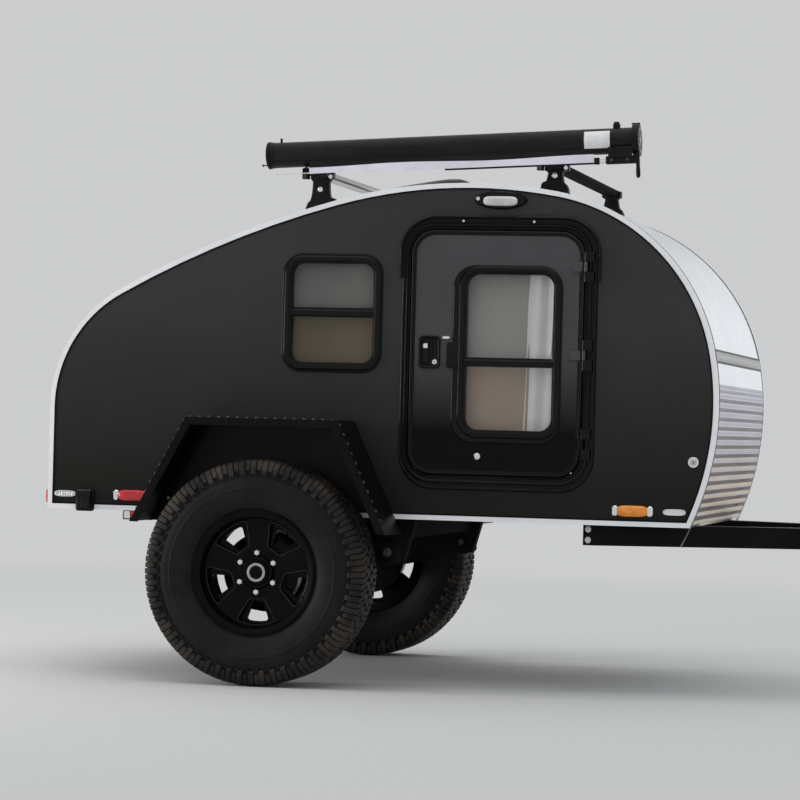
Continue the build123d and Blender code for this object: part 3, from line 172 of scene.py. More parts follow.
# Paint, plastic, rubber, wood and plated metal
plain("frame", grey(0.0025), grey(0.005), (0.34, 0.46), 9, 500, 0.25, edge=0.0015, **{SPEC: 0.1})
plain("gloss", grey(0.0025), grey(0.0045), (0.13, 0.2), 5, 240, 0.05, edge=0.001, **{SPEC: 0.18})
plain("plastic", grey(0.005), grey(0.01), (0.42, 0.58), 12, 700, 0.35, edge=0.0015, **{SPEC: 0.15})
plain("matt", grey(0.006), grey(0.011), (0.75, 0.9), 12, 700, 0.2, **{SPEC: 0.03})
plain("rim", grey(0.0014), grey(0.003), (0.13, 0.2), 14, 300, 0.05, edge=0.002, **{SPEC: 0.09})
# Paler tone of the beads round the rim's pockets: a painted highlight along the spoke edges.
plain("rim_edge_painted_highlight", grey(0.014), grey(0.02), (0.22, 0.3), 14, 300, 0.05, **{SPEC: 0.35})
plain("rubber", grey(0.008), grey(0.016), (0.55, 0.7), 20, 500, 0.2, **{SPEC: 0.15})
# Grey of the strips along the sheet's edges: painted shadow.
plain("shadow_grey", grey(0.1), grey(0.15), (0.4, 0.5), 12, 300, 0.1, **{SPEC: 0.4})
plain("wood", *PLY, (0.3, 0.42), 6, 90, 0.1, stretch=(1, 0.18, 5))
plain("edge_ply", (0.3, 0.19, 0.1), (0.62, 0.45, 0.27), (0.5, 0.6), 4, 300, 0.1, stretch=(1, 1, 60))
plain("patch", grey(0.66), grey(0.76), (0.35, 0.5), 30, 400, 0.1, **{SPEC: 0.4})
plain("ivory", grey(0.68, 0.03), grey(0.8, 0.03), (0.3, 0.4), 30, 400, 0.05)
plain("reflector", (0.5, 0.02, 0.03), (0.68, 0.05, 0.06), (0.2, 0.35), 60, 800, 0.3)
plain("amber", (0.75, 0.2, 0.01), (0.95, 0.36, 0.03), (0.12, 0.25), 40, 500, 0.1, **{COAT: 0.5})
plain("red", (0.4, 0.006, 0.01), (0.62, 0.015, 0.03), (0.12, 0.25), 40, 500, 0.1, **{COAT: 0.5})
plain("lens", grey(0.5), grey(0.66), (0.1, 0.22), 40, 500, 0.08, Metallic=0.25, **{SPEC: 0.7, COAT: 0.5})
metal("zinc", grey(0.42), grey(0.6), (0.3, 0.5), 25, 400, 0.2)
metal("chrome", grey(0.78), grey(0.88), (0.06, 0.14), 20, 300, 0.03)
metal("bar", grey(0.28), grey(0.38), (0.3, 0.42), 6, 200, 0.1, stretch=(3, 0.2, 3))
metal("dark_steel", grey(0.05, 0.05), grey(0.11, 0.08), (0.4, 0.6), 18, 300, 0.3)
plain("trim", (0.84, 0.85, 0.87), (0.9, 0.91, 0.93), (0.24, 0.34), 6, 260, 0.03, Metallic=0.2)

# Cloth
plain("hem", (0.68, 0.66, 0.76), (0.8, 0.78, 0.86), (0.45, 0.6), 14, 900, 0.3, **{SHEEN: 0.1})
plain("cotton", grey(0.48, 0.06), grey(0.6, 0.06), (0.75, 0.9), 9, 1600, 0.6, **{SHEEN: 0.3})
plain("curtain", grey(0.68, 0.02), grey(0.76, 0.02), (0.7, 0.85), 10, 1500, 0.5, **{SHEEN: 0.3})


def blind_cloth(name, lower_painted_reflection, upper, middle):
    # Woven blind whose part below the window's bar has a warmer tone, a painted reflection of the ground in
    # the pane.
    tree, surface = shader(name)
    at = coords(tree)
    slow = cloud(tree, at, 5.0)
    low = ramp(tree, slow, [v * 0.9 for v in lower_painted_reflection], lower_painted_reflection)
    high = ramp(tree, slow, [v * 0.94 for v in upper], upper)
    tone = mix(tree, height(tree, at, middle - 0.03, middle + 0.03), low, high)
    wire(tree, surface, {"Base Color": tone, "Roughness": 0.85, SPEC: 0.15})
    relief(tree, cloud(tree, at, 1400.0, 2.0), surface, 0.4)


# The lower tones of both blinds are painted reflection of the ground.
blind_cloth("door_blind", (0.42, 0.345, 0.275), (0.375, 0.375, 0.345), 1.166)
blind_cloth("side_blind", (0.18, 0.152, 0.1), (0.215, 0.21, 0.2), 1.333)


def lined_skin(name, scale, foot, head, levels, rough, spec, fine, bump, depth):
    # Painted reflection that changes with height, dark at the foot and light at the head, and varnished ply
    # on every face that looks into the cabin.
    tree, surface = shader(name)
    at = coords(tree)
    slow = cloud(tree, at, scale)
    # The change from the foot tone to the head tone is painted reflection.
    painted_reflection = mix(tree, height(tree, at, *levels), ramp(tree, slow, *foot), ramp(tree, slow, *head))
    ply = ramp(tree, cloud(tree, coords(tree, (1, 1, 9)), 6.0), *PLY)
    lining = figure(tree, "LESS_THAN", figure(tree, "ABSOLUTE", part_of(tree, at, "Y")), LINING_Y)
    tone = mix(tree, lining, painted_reflection, ply)
    wire(tree, surface, {"Base Color": tone, "Roughness": remap(tree, slow, *rough), SPEC: spec})
    relief(tree, cloud(tree, at, fine, 2.0), surface, bump, depth)


# Wall and door leaf: the dark foot tones and the light head tones are painted reflection.
WALL_FOOT_PAINTED_DARK_REFLECTION = ((0.0095, 0.009, 0.0078), (0.012, 0.0115, 0.0102))
WALL_HEAD_PAINTED_LIGHT_REFLECTION = ((0.034, 0.033, 0.0325), (0.04, 0.039, 0.039))
LEAF_FOOT_PAINTED_DARK_REFLECTION = (grey(0.0015), grey(0.003))
LEAF_HEAD_PAINTED_LIGHT_REFLECTION = ((0.064, 0.064, 0.066), (0.074, 0.074, 0.077))
lined_skin("wall", 1.6, WALL_FOOT_PAINTED_DARK_REFLECTION, WALL_HEAD_PAINTED_LIGHT_REFLECTION, (0.68, 1.32), (0.36, 0.46), 0.15, 420.0, 0.12, 0.0003)
# Door leaf: painted reflection, grey at the head and near black at the foot.
lined_skin("leaf", 2.0, LEAF_FOOT_PAINTED_DARK_REFLECTION, LEAF_HEAD_PAINTED_LIGHT_REFLECTION, (0.92, 1.2), (0.2, 0.3), 0.1, 180.0, 0.06, 0.0004)


def floor_skin():
    # Varnished ply above, black coat on the faces that look down.
    tree, surface = shader("floor_ply")
    at = coords(tree, (1, 0.2, 5))
    grain = cloud(tree, at, 6.0)
    coat = ramp(tree, grain, grey(0.004), grey(0.008))
    facing = node(tree, "ShaderNodeNewGeometry").outputs["Normal"]
    tone = mix(tree, height(tree, facing, -0.6, -0.4), coat, ramp(tree, grain, *PLY))
    wire(tree, surface, {"Base Color": tone, "Roughness": 0.5})
    relief(tree, cloud(tree, at, 90.0, 2.0), surface, 0.15)


def sheet_metal(name, tones, rough, shine, low=0.0, high=2.0):
    # Rolled sheet: fine lines run round the curve, handling marks, and a tone that changes with height.
    tree, surface = shader(name)
    at = coords(tree)
    marks = cloud(tree, at, 2.4, 7.0)
    lines = cloud(tree, coords(tree, (0.4, 160, 0.4)), 3.0, 6.0)
    shades = [ramp(tree, marks, [v * 0.9 for v in tone], tone, 0.3, 0.6) for tone in tones]
    # Tone by height; on the tread plate rows it is painted reflection, tan low down.
    color = mix(tree, height(tree, at, low, high), *shades)
    grain = remap(tree, lines, rough - 0.05, rough + 0.06)
    wire(tree, surface, {"Base Color": color, "Roughness": grain, "Metallic": shine})
    relief(tree, lines, surface, 0.08)


def tyre_rubber(name, dust, low, high):
    # Rubber with tan dust in patches.
    tree, surface = shader(name)
    at = coords(tree)
    slow = cloud(tree, at, 7.0, 6.0)
    fine = cloud(tree, at, 260.0, 3.0)
    tan = ramp(tree, fine, (0.09, 0.071, 0.053), (0.17, 0.138, 0.104))
    color = mix(tree, remap(tree, slow, 0.0, dust, 0.42, 0.75), ramp(tree, fine, low, high), tan)
    wire(tree, surface, {"Base Color": color, "Roughness": remap(tree, slow, 0.48, 0.72), SPEC: 0.16})
    relief(tree, fine, surface, 0.3, 0.0006)


def pane_glass(name, low, high, alpha):
    # Tinted pane with faint dust and a slow waviness.
    tree, surface = shader(name)
    slow = cloud(tree, coords(tree), 3.0)
    wire(tree, surface, {
        "Base Color": ramp(tree, slow, low, high), "Roughness": remap(tree, slow, 0.03, 0.08),
        "Alpha": alpha, SPEC: 0.45,
    })
    relief(tree, slow, surface, 0.05, 0.002)


def bag_cloth():
    # Coated woven bag: crossed threads, soft creases along the roll, with painted shade darkening the crease
    # hollows.
    tree, surface = shader("bag")
    at = coords(tree)
    creases_and_painted_shade = cloud(tree, coords(tree, (2.2, 9, 9)), 2.6, 5.0)
    threads = []
    for way in ("X", "Y"):
        inputs = {"Vector": at, "Scale": 260.0, "Distortion": 0.6}
        threads.append(node(tree, "ShaderNodeTexWave", inputs, bands_direction=way).outputs["Fac"])
    # Tone follows the crease relief: painted shade in the hollows, lighter on the ridges.
    tone = ramp(tree, creases_and_painted_shade, (0.006, 0.0057, 0.0066), (0.0125, 0.0115, 0.0135))
    wire(tree, surface, {"Base Color": tone, "Roughness": remap(tree, creases_and_painted_shade, 0.4, 0.56), SPEC: 0.16})
    weave = relief(tree, figure(tree, "ADD", *threads), None, 0.2)
    relief(tree, creases_and_painted_shade, surface, 0.3, 0.004, under=weave)


floor_skin()
bag_cloth()
sheet_metal("roof", ((0.8, 0.82, 0.86), (0.86, 0.88, 0.92)), 0.3, 0.88)
# Tread plate rows: a lighter and a darker copy of one sheet, which are painted reflection.
sheet_metal("painted_bright_reflection_row", ((0.9, 0.8, 0.7), (0.68, 0.67, 0.74)), 0.34, 0.8, 0.76, 0.87)
sheet_metal("painted_dark_reflection_row", ((0.36, 0.32, 0.31), (0.5, 0.48, 0.56)), 0.34, 0.8, 0.86, 1.09)
tyre_rubber("tyre_side", 0.1, (0.0045, 0.0045, 0.0055), (0.0095, 0.0092, 0.0102))
tyre_rubber("tyre_tread", 0.5, (0.008, 0.0075, 0.0072), (0.018, 0.0165, 0.0155))
pane_glass("door_glass", (0.02, 0.02, 0.018), (0.03, 0.03, 0.027), 0.08)
pane_glass("side_glass", (0.015, 0.015, 0.014), (0.024, 0.023, 0.021), 0.1)


# Mesh tools
class Kit:
    """Vertices and faces of one piece, in metres, with a material number for each face."""

    def __init__(self):
        self.verts = []
        self.faces = []
        self.mats = []

    def add(self, verts, faces, mat=0):
        start = len(self.verts)
        self.verts += [Vector(p) for p in verts]
        self.faces += [[start + i for i in face] for face in faces]
        self.mats += [mat] * len(faces)

    def loft(self, rings, mat=0, closed=True, caps=False, wrap=False):
        count = len(rings[0])
        faces = []
        for i in range(len(rings) if wrap else len(rings) - 1):
            a = i * count
            b = ((i + 1) % len(rings)) * count
            for j in range(count if closed else count - 1):
                k = (j + 1) % count
                faces.append((a + j, a + k, b + k, b + j))
        if caps:
            last = (len(rings) - 1) * count
            faces.append(tuple(range(count)))
            faces.append(tuple(reversed(range(last, last + count))))
        self.add([p for ring in rings for p in ring], faces, mat)

    def flip(self):
        # Turns the piece into its mirror image on the other side of the middle plane.
        self.verts = [Vector((p.x, -p.y, p.z)) for p in self.verts]
        self.faces = [list(reversed(face)) for face in self.faces]

    def both(self):
        # Adds the mirror image on the other side.
        start = len(self.verts)
        self.verts += [Vector((p.x, -p.y, p.z)) for p in self.verts]
        self.faces += [[start + i for i in reversed(face)] for face in self.faces]
        self.mats += self.mats

    def make(self, name, mats, body="trailer", swap=(), slot=None, sharp=30):
        mesh = bpy.data.meshes.new(name)
        mesh.from_pydata([tuple(p) for p in self.verts], [], self.faces)
        for key in mats:
            mesh.materials.append(materials[key])
        mesh.polygons.foreach_set("material_index", self.mats)
        work = bmesh.new()
        work.from_mesh(mesh)
        bmesh.ops.remove_doubles(work, verts=work.verts, dist=1e-6)
        bmesh.ops.recalc_face_normals(work, faces=work.faces)
        work.to_mesh(mesh)
        work.free()
        mesh.shade_smooth()
        mesh.set_sharp_from_angle(angle=math.radians(sharp))
        piece = bpy.data.objects.new(name, mesh)
        scene.collection.objects.link(piece)
        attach(piece, body)
        if swap:
            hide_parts(*swap)
        return piece


def one_piece(name, mats, *where, both=True, **more):
    # Makes one piece of the form that a function builds, on both sides of the body where asked.
    def made(build):
        kit = Kit()
        build(kit)
        if both:
            kit.both()
        kit.make(name, mats, *where, **more)
        return build
    return made


def two_pieces(name, mats, body, swap=None, **more):
    # Makes a right piece and its mirror image on the left body.
    def made(build):
        for side in SIDES:
            kit = Kit()
            build(kit)
            if side == "left":
                kit.flip()
            nodes = [f"{swap}_{side}"] if swap else []
            kit.make(f"{name}_{side}", mats, f"{body}_{side}", nodes, **more)
        return build
    return made


def circle(count):
    return [2 * math.pi * i / count for i in range(count)]


def way_at(path, i):
    # Direction of a path at one of its points.
    return (path[min(i + 1, len(path) - 1)] - path[max(i - 1, 0)]).normalized()


def rounded(x0, x1, z0, z1, radius, steps=8):
    # Points of a rounded rectangle.
    radius = max(0.01, min(radius, (x1 - x0) / 2 - 0.01, (z1 - z0) / 2 - 0.01))
    corners = ((x1, z1, -1, -1), (x0, z1, 1, -1), (x0, z0, 1, 1), (x1, z0, -1, 1))
    points = []
    for turn, (x, z, dx, dz) in enumerate(corners):
        for i in range(steps + 1):
            a = math.radians(90 * turn + 90 * i / steps)
            points.append((x + dx * radius + radius * math.cos(a), z + dz * radius + radius * math.sin(a)))
    return points


def grow(rect, left, right=None, low=None, high=None):
    right = left if right is None else right
    low = left if low is None else low
    high = left if high is None else high
    return (rect[0] - left, rect[1] + right, rect[2] - low, rect[3] + high)


def moulding(kit, outer, outer_rad, inner, inner_rad, face, profile, mat=0, steps=14):
    # Between two rounded rectangles on the right side. Profile columns: share inwards, height above the face
    rings = []
    for share, rise in profile:
        rect = [lerp(a, b, share) for a, b in zip(outer, inner)]
        edge = rounded(*rect, lerp(outer_rad, inner_rad, share), steps)
        rings.append([pt(x, -(face + rise), z) for x, z in edge])
    kit.loft(rings, mat)


def plate(kit, rect, radius, face, top, chamfer, mat=0):
    # A rounded plate on the right side between two distances from the middle plane.
    rings = []
    for less, y in ((0, face), (0, top - chamfer), (chamfer, top)):
        edge = rounded(*grow(rect, -less), max(0.5, radius - less), 6)
        rings.append([pt(x, -y, z) for x, z in edge])
    kit.loft(rings, mat, caps=True)


def spin(kit, at, axis, profile, count=24, mat=0, start=0.0):
    # A turned form. Profile columns: radius, distance along the axis
    axis = Vector(axis).normalized()
    side = axis.cross(UP if abs(axis.z) < 0.9 else Vector((1, 0, 0))).normalized()
    up = axis.cross(side)
    rings = []
    for radius, rise in profile:
        row = []
        for i in range(count):
            a = start + 2 * math.pi * i / count
            reach = (side * math.cos(a) + up * math.sin(a)) * max(radius, 0.02)
            row.append(at + (axis * rise + reach) / 1000)
        rings.append(row)
    kit.loft(rings, mat, caps=True)


def chamfered(u, v, cut):
    # Eight corners of a rectangle with cut corners.
    (u0, u1), (v0, v1) = u, v
    return ((u0 + cut, v0), (u1 - cut, v0), (u1, v0 + cut), (u1, v1 - cut),
            (u1 - cut, v1), (u0 + cut, v1), (u0, v1 - cut), (u0, v0 + cut))


def block(kit, x, y, z, cut=1.0, mat=0, place=pt):
    # A block with chamfered edges between pairs of limits.
    rings = []
    for level, less in ((z[0], cut), (z[0] + cut, 0), (z[1] - cut, 0), (z[1], cut)):
        corner = cut * 0.6 if less else cut
        flat = chamfered((x[0] + less, x[1] - less), (y[0] + less, y[1] - less), corner)
        rings.append([place(a, b, level) for a, b in flat])
    kit.loft(rings, mat, caps=True)


def tube(kit, path, radii, count=12, mat=0):
    # Sweeps a round section along points in metres, with one radius or one at each point.
    if not isinstance(radii, (list, tuple)):
        radii = [radii] * len(path)
    side = None
    rings = []
    for i, (p, radius) in enumerate(zip(path, radii)):
        way = way_at(path, i)
        side = way.orthogonal() if side is None else side - way * side.dot(way)
        side.normalize()
        up = way.cross(side)
        rings.append([p + (side * math.cos(a) + up * math.sin(a)) * radius / 1000 for a in circle(count)])
    kit.loft(rings, mat, caps=True)


def hex_head(kit, at, axis, radius=8.0, rise=5.0, mat=0):
    spin(kit, at, axis, [(radius * 1.45, 0), (radius * 1.45, 1.2), (radius * 1.3, 1.6)], 20, mat)
    spin(kit, at, axis, [(radius, 1.5), (radius, rise - 0.8), (radius * 0.86, rise)], 6, mat)


def dome(kit, at, axis, radius=5.0, rise=2.5, mat=0):
    rows = [(1, 0), (1, 0.3), (0.85, 0.7), (0.5, 0.95), (0, 1)]
    spin(kit, at, axis, [(radius * r, rise * h) for r, h in rows], 14, mat)


def outline(step):
    # The body outline from the rear hip over the roof to the front foot: length, height, direction.
    x, z, a = REAR_X, HIP_Z, math.pi / 2
    points = [(x, z, a)]
    for radius, turn in ARCS:
        cx, cz = x + radius * math.sin(a), z - radius * math.cos(a)
        count = max(2, math.ceil(turn / step))
        for i in range(1, count + 1):
            b = a - math.radians(turn) * i / count
            points.append((cx - radius * math.sin(b), cz + radius * math.cos(b), b))
        x, z, a = points[-1]
    return points


def roof_at(x):
    # Height and direction of the roof over a length.
    return min((p for p in outline(0.5) if p[1] > 1300), key=lambda p: abs(p[0] - x))[1:]


# Wheels. Tyre sections. Columns: distance from the middle plane, radius, share of the worn top edge
PITCHES = 56
CARCASS = (
    (97, 205), (97, 222), (101, 229), (107, 232), (109, 237), (113, 240), (119, 252), (125, 266), (129, 282),
    (130.6, 296), (132.2, 298), (132.2, 303), (130.8, 305), (130.4, 318), (128.5, 330), (127.8, 331),
    (127.8, 334), (126.5, 336), (123, 350), (119.5, 362), (114, 374), (106, 384), (94, 389.5), (60, 391.5),
    (20, 392.2),
)
LONG_LUG = (
    (82, 386, 0), (82, 400.6, 1), (104, 399.2, 1), (117, 395.0, 1), (126, 384, 0.6), (130.2, 366, 0.4),
    (130.8, 352, 0.3), (127, 346, 0), (112, 372, 0),
)
SHORT_LUG = (
    (80, 386, 0), (80, 400.8, 1), (100, 399.6, 1), (112, 396.2, 1), (121, 388, 0.6), (127.4, 372, 0.4),
    (128.4, 364, 0.3), (122, 358, 0), (108, 376, 0),
)
MID_LUG = ((44, 388, 0), (44, 401.3, 1), (60, 401.1, 1), (74, 400.6, 1), (74, 388, 0))
CORE_LUG = ((6, 388, 0), (6, 401.45, 1), (22, 401.45, 1), (37, 401.35, 1), (37, 388, 0))
SIDE_BAR = ((122, 338, 0), (128.4, 341, 0.3), (128.8, 347, 0.3), (122, 350, 0))
# Columns: section, start and end in shares of a pitch, slant, wear, material
LUGS = (
    (LONG_LUG, 0.03, 0.47, 0.012, 1.6, 1),
    (SHORT_LUG, 0.55, 0.95, 0.012, 1.6, 1),
    (MID_LUG, 0.08, 0.44, 0.075, 1.6, 1),
    (MID_LUG, 0.5, 0.9, 0.075, 1.6, 1),
    (CORE_LUG, 0.1, 0.84, -0.1, 1.6, 1),
    (SIDE_BAR, 0.6, 0.9, 0.0, 0.6, 0),
)


@two_pieces("tyre_detail", ["tyre_side", "tyre_tread"], "wheel", "tyre", slot="tyre", sharp=28)
def tyre(kit):
    # Carcass with raised rings on its sides, and rows of lugs whose ends are worn.
    centre = pt(0, 0, TYRE_R)

    def place(w, radius, turn):
        return centre + Vector((radius * math.sin(turn), -(TRACK + w), radius * math.cos(turn))) / 1000

    section = [(-w, r) for w, r in CARCASS] + [(w, r) for w, r in reversed(CARCASS)]
    kit.loft([[place(w, r, turn) for turn in circle(3 * PITCHES)] for w, r in section], wrap=True)
    pitch = 2 * math.pi / PITCHES
    for i in range(2 * PITCHES):
        side = 1 if i % 2 else -1
        start = i * pitch / 2
        for rows, first, last, slant, wear, mat in LUGS:
            rings = []
            for share, worn in ((0.0, 1.0), (0.09, 0.0), (0.91, 0.0), (1.0, 1.0)):
                turn = start + pitch * lerp(first, last, share)
                skew = slant / 100 if rows in (MID_LUG, CORE_LUG) else side * slant / 100
                rings.append([place(side * w, r - wear * worn * top, turn + skew * w) for w, r, top in rows])
            kit.loft(rings, mat, caps=True)


def eased(p, corner, q):
    # Points of a rounded corner between two points.
    return [p.lerp(corner, t).lerp(corner.lerp(q, t), t) for t in (0, 0.25, 0.5, 0.75, 1)]


def pocket_edge(kit, turn):
    # Raised bead round one pocket of the rim, on its dished face.
    inner, outer = POCKET_R

    def side(reach):
        return Vector((reach, 9 + 73 * (reach - 60) / (BARREL_R - 60)))

    def on_radius(radius):
        return min((side(30 + i / 4) for i in range(700)), key=lambda p: abs(p.length - radius))

    low, high = on_radius(inner), on_radius(outer)
    way = (high - low).normalized()
    half = eased(low + way * 11, low, Vector((inner, 0)).lerp(low, 0.45))[::-1]
    curve = [math.atan2(high.y, high.x) * share for share in (0.8, 0.6, 0.4, 0.2, 0)]
    half += eased(high - way * 13, high, Vector((math.cos(curve[0]), math.sin(curve[0]))) * outer)
    half += [Vector((math.cos(a), math.sin(a))) * outer for a in curve[1:]]
    loop = half + [Vector((p.x, -p.y)) for p in reversed(half[:-1])]
    c, s = math.cos(turn), math.sin(turn)
    path = []
    for p in [*loop, loop[0]]:
        rise = min(10, max(0, (p.length - 92) * 10 / 58)) + max(0, (p.length - 150) * 0.08)
        path.append(pt(p.x * c - p.y * s, -(HUB_FACE + rise), TYRE_R + p.x * s + p.y * c))
    # Material 3 gives the bead its paler tone, a painted highlight.
    tube(kit, path, 1.9, 10, 3)


@two_pieces("wheel_fittings", ["chrome", "zinc", "rim", "rim_edge_painted_highlight"], "wheel", slot="chrome", sharp=32)
def wheel_fittings(kit):
    # Plated nuts over the six studs, beads round the pockets in a paler tone that is a painted highlight, and
    # the ring on the centre cap.
    for i in range(6):
        a = math.radians(90 + 60 * i)
        at = pt(STUD_R * math.cos(a), -HUB_FACE, TYRE_R + STUD_R * math.sin(a))
        spin(kit, at, OUT, [(12.7, 0.3), (12.7, 17.5), (11.2, 19.6)], 6, 0, math.radians(30))
        spin(kit, at, OUT, [(10.6, 18.5), (10.4, 21.5), (8.6, 24.6), (4.6, 26.4), (0, 26.8)], 18, 0)
    for i in range(5):
        pocket_edge(kit, math.radians(54 + 72 * i))
    cap = pt(0, -(HUB_FACE + CAP_RISE), TYRE_R)
    spin(kit, cap, OUT, [(33, -0.5), (33, 2.4), (31, 3.4), (26.5, 3.4), (24.5, 1.6)], 48, 1)
    spin(kit, cap, OUT, [(24.3, 0.2), (23.6, 2.6), (19, 3.4), (0, 3.6)], 40, 2)


# Doors. Rectangles in side view. Columns: rear, front, foot, head
FRAME = (455.0, 1162.0, 712.0, 1682.0)
LEAF = (490.0, 1112.0, 767.0, 1637.0)
PANE = (665.0, 1034.0, 900.0, 1511.0)
SIDE_PANE = (20.0, 376.0, 1128.0, 1541.0)
HINGES = (885.0, 1200.0, 1515.0)
HINGE_X = 1120.0
HINGE_Y = 776.0
# Profiles of mouldings. Columns: share inwards, height
SURROUND = (
    (-0.02, 0.2), (0.0, 4.0), (0.05, 7.2), (0.12, 8.4), (0.2, 8.4), (0.27, 7.0), (0.31, 3.6), (0.37, 3.0),
    (0.43, 3.6), (0.47, 7.0), (0.53, 9.4), (0.6, 10.0), (0.67, 9.4), (0.73, 7.0), (0.77, 4.2), (0.83, 3.8),
    (0.88, 5.0), (0.93, 8.2), (0.97, 8.6), (1.0, 7.4), (1.0, -22.0),
)
DRIP_RAIL = (
    (0, 1), (0, 13.8), (4.2, 17.4), (5.6, 17), (6, 14), (5.4, 6), (9, 4.6), (13, 5.6), (13.5, 2), (13.5, 0.6),
)
RAIL_FOOT = 1465.0


@one_piece("door_surrounds", ["gloss", "chrome"], swap=["door_frames"], slot="gloss_black", sharp=24)
def door_surround(kit):
    # Frame moulding, drip rail round its head, two screws and the fixed hinge knuckles with their pins.
    moulding(kit, FRAME, 125, grow(LEAF, 5), 89, HALF_OUT, SURROUND, steps=16)
    head = [p for p in rounded(*grow(FRAME, 4), 129, 16)[:34] if p[1] > RAIL_FOOT]
    path = [Vector((FRAME[1] + 4, RAIL_FOOT)), *map(Vector, head), Vector((FRAME[0] - 4, RAIL_FOOT))]
    rows = []
    for i, p in enumerate(path):
        way = way_at(path, i)
        rail = [(6 - side, HALF_OUT + rise) for side, rise in DRIP_RAIL]
        rows.append([pt(p.x + way.y * off, -out, p.y - way.x * off) for off, out in rail])
    kit.loft(rows, caps=True)
    for x in (673, 929):
        dome(kit, pt(x, -(HALF_OUT + 8.2), 1672), OUT, 5.2, 2.6, 1)
    for z in HINGES:
        for low in (z - 54, z + 18):
            spin(kit, pt(HINGE_X, -HINGE_Y, low), UP, [(5.2, 0), (6, 1), (6, 35), (5.2, 36)], 20)
            block(kit, (HINGE_X, HINGE_X + 30), (-779, -769.5), (low, low + 36), 1.2)
        spin(kit, pt(HINGE_X, -HINGE_Y, z - 17.9), UP, [(2.5, 0), (2.5, 35.8)], 12)


OUTER_BEAD = (
    (0, 0.0), (0.04, 2.0), (0.15, 4.6), (0.3, 5.5), (0.5, 5.6), (0.72, 4.4), (0.86, 2.6), (1.0, 2.4),
)
PANE_BEAD = (
    (0, 0.0), (0.02, 6.2), (0.17, 9.8), (0.36, 11.2), (0.58, 11.0), (0.72, 9.2), (0.78, 5.6), (0.86, 4.8),
    (0.96, 4.4), (1.0, 2.2), (1.0, -5.0),
)
SLEEVE = ((0, -6.0), (0, -29.0), (1.0, -29.0), (1.0, -12.0))
BAR_RISE = ((0, -4.0), (0, 3.2), (4, 6.2), (9, 6.8))
LIP = 28


def window_ring(kit, pane, radius, face, bar, margins):
    # Outer bead, thick ring with rounded steps down to the glass, sleeve through the wall, crossbar.
    inner = grow(pane, -LIP)
    moulding(kit, grow(pane, *margins), radius + 8, grow(pane, -3), radius - 3, face, OUTER_BEAD)
    moulding(kit, pane, radius, inner, radius - LIP, face, PANE_BEAD)
    moulding(kit, grow(pane, -8), radius - 20, inner, radius - LIP, face, SLEEVE)
    low, high = bar
    section = [(low + run, rise) for run, rise in BAR_RISE] + [((low + high) / 2, 5.6)]
    section += [(high - run, rise) for run, rise in reversed(BAR_RISE)]
    ends = (inner[0] - 4, inner[1] + 4)
    kit.loft([[pt(x, -(face + rise), z) for z, rise in section] for x in ends], caps=True)
    block(kit, (inner[0] + 2, inner[1] - 2), (3 - face, 6 - face), (high, high + 7), 0.8)


@two_pieces("door_window_ring", ["gloss"], "door", "door_window", slot="gloss_black", sharp=22)
def door_window(kit):
    window_ring(kit, PANE, 72, DOOR_FACE, (1153.0, 1179.0), (23, 5, 20, 4))
    plate(kit, (624, 668, 1146, 1238), 8, DOOR_FACE, DOOR_FACE + 8, 2.0)


@one_piece("side_window_rings", ["gloss"], swap=["side_windows"], slot="gloss_black", sharp=22)
def side_window(kit):
    window_ring(kit, SIDE_PANE, 66, HALF_OUT, (1320.0, 1347.0), (8, 8, 8, 8))


LEAF_EDGE = (
    (0, -5.0), (0, 2.4), (0.15, 4.6), (0.35, 4.8), (0.52, 4.0), (0.56, 1.6), (0.72, 2.2), (0.9, 2.0),
    (0.92, 0.0),
)
LATCH = (522.0, 600.0, 1143.0, 1260.0)
LATCH_RIM = ((0, 0), (0, 5.5), (0.25, 8.4), (0.6, 8.6), (0.9, 6.5), (1.0, 4.5), (1.0, 1.6))
# Columns: rear, front, foot, head, corner radius, start and top over the leaf, chamfer, material
LATCH_PLATES = (
    (531, 591, 1152, 1251, 11, -2, 1.7, 0.2, 1),
    (536, 560, 1162, 1244, 7, 1, 10.4, 2.6, 0),
    (563, 572, 1186, 1240, 3, 1, 7, 1.6, 1),
    (539, 555, 1214, 1232, 4, 9, 13, 1.4, 2),
    (606, 632, 1249, 1259, 3, 0, 5, 1.4, 2),
)
# Middles of the latch's lock and of the button: length, height
LATCH_LOCK = (580.0, 1166.0)
BUTTON = (743.0, 833.0)


@two_pieces("door_trim", ["gloss", "plastic", "chrome"], "door", "door_latch", slot="gloss_black", sharp=24)
def door_trim(kit):
    # Raised edge of the leaf, latch in its recess, button low on the leaf, moving hinge knuckles.
    moulding(kit, LEAF, 84, grow(LEAF, -17), 68, DOOR_FACE, LEAF_EDGE)
    moulding(kit, LATCH, 17, grow(LATCH, -9), 11, DOOR_FACE, LATCH_RIM, steps=8)
    for *rect, radius, start, top, chamfer, mat in LATCH_PLATES:
        plate(kit, rect, radius, DOOR_FACE + start, DOOR_FACE + top, chamfer, mat)
    x, z = LATCH_LOCK
    barrel = [(9.2, 0), (9.2, 7), (7.6, 8.6), (5, 8.6), (4.6, 7.8)]
    spin(kit, pt(x, -DOOR_FACE, z), OUT, barrel, 24, 2)
    block(kit, (x - 1.2, x + 1.2), (-DOOR_FACE - 9, -DOOR_FACE - 7), (z - 4.5, z + 4.5), 0.3, 1)
    x, z = BUTTON
    button = [(13, 0), (13, 2), (11.6, 4.4), (8, 6.4), (4, 7.4), (0, 7.6)]
    spin(kit, pt(x, -DOOR_FACE, z), OUT, button, 28, 2)
    for z in HINGES:
        spin(kit, pt(HINGE_X, -HINGE_Y, z - 17.5), UP, [(5.2, 0), (6, 1), (6, 34), (5.2, 35)], 20)
        block(kit, (HINGE_X - 15, HINGE_X - 2), (-777.5, -768.5), (z - 17.5, z + 17.5), 1.2)


# Blinds and curtains


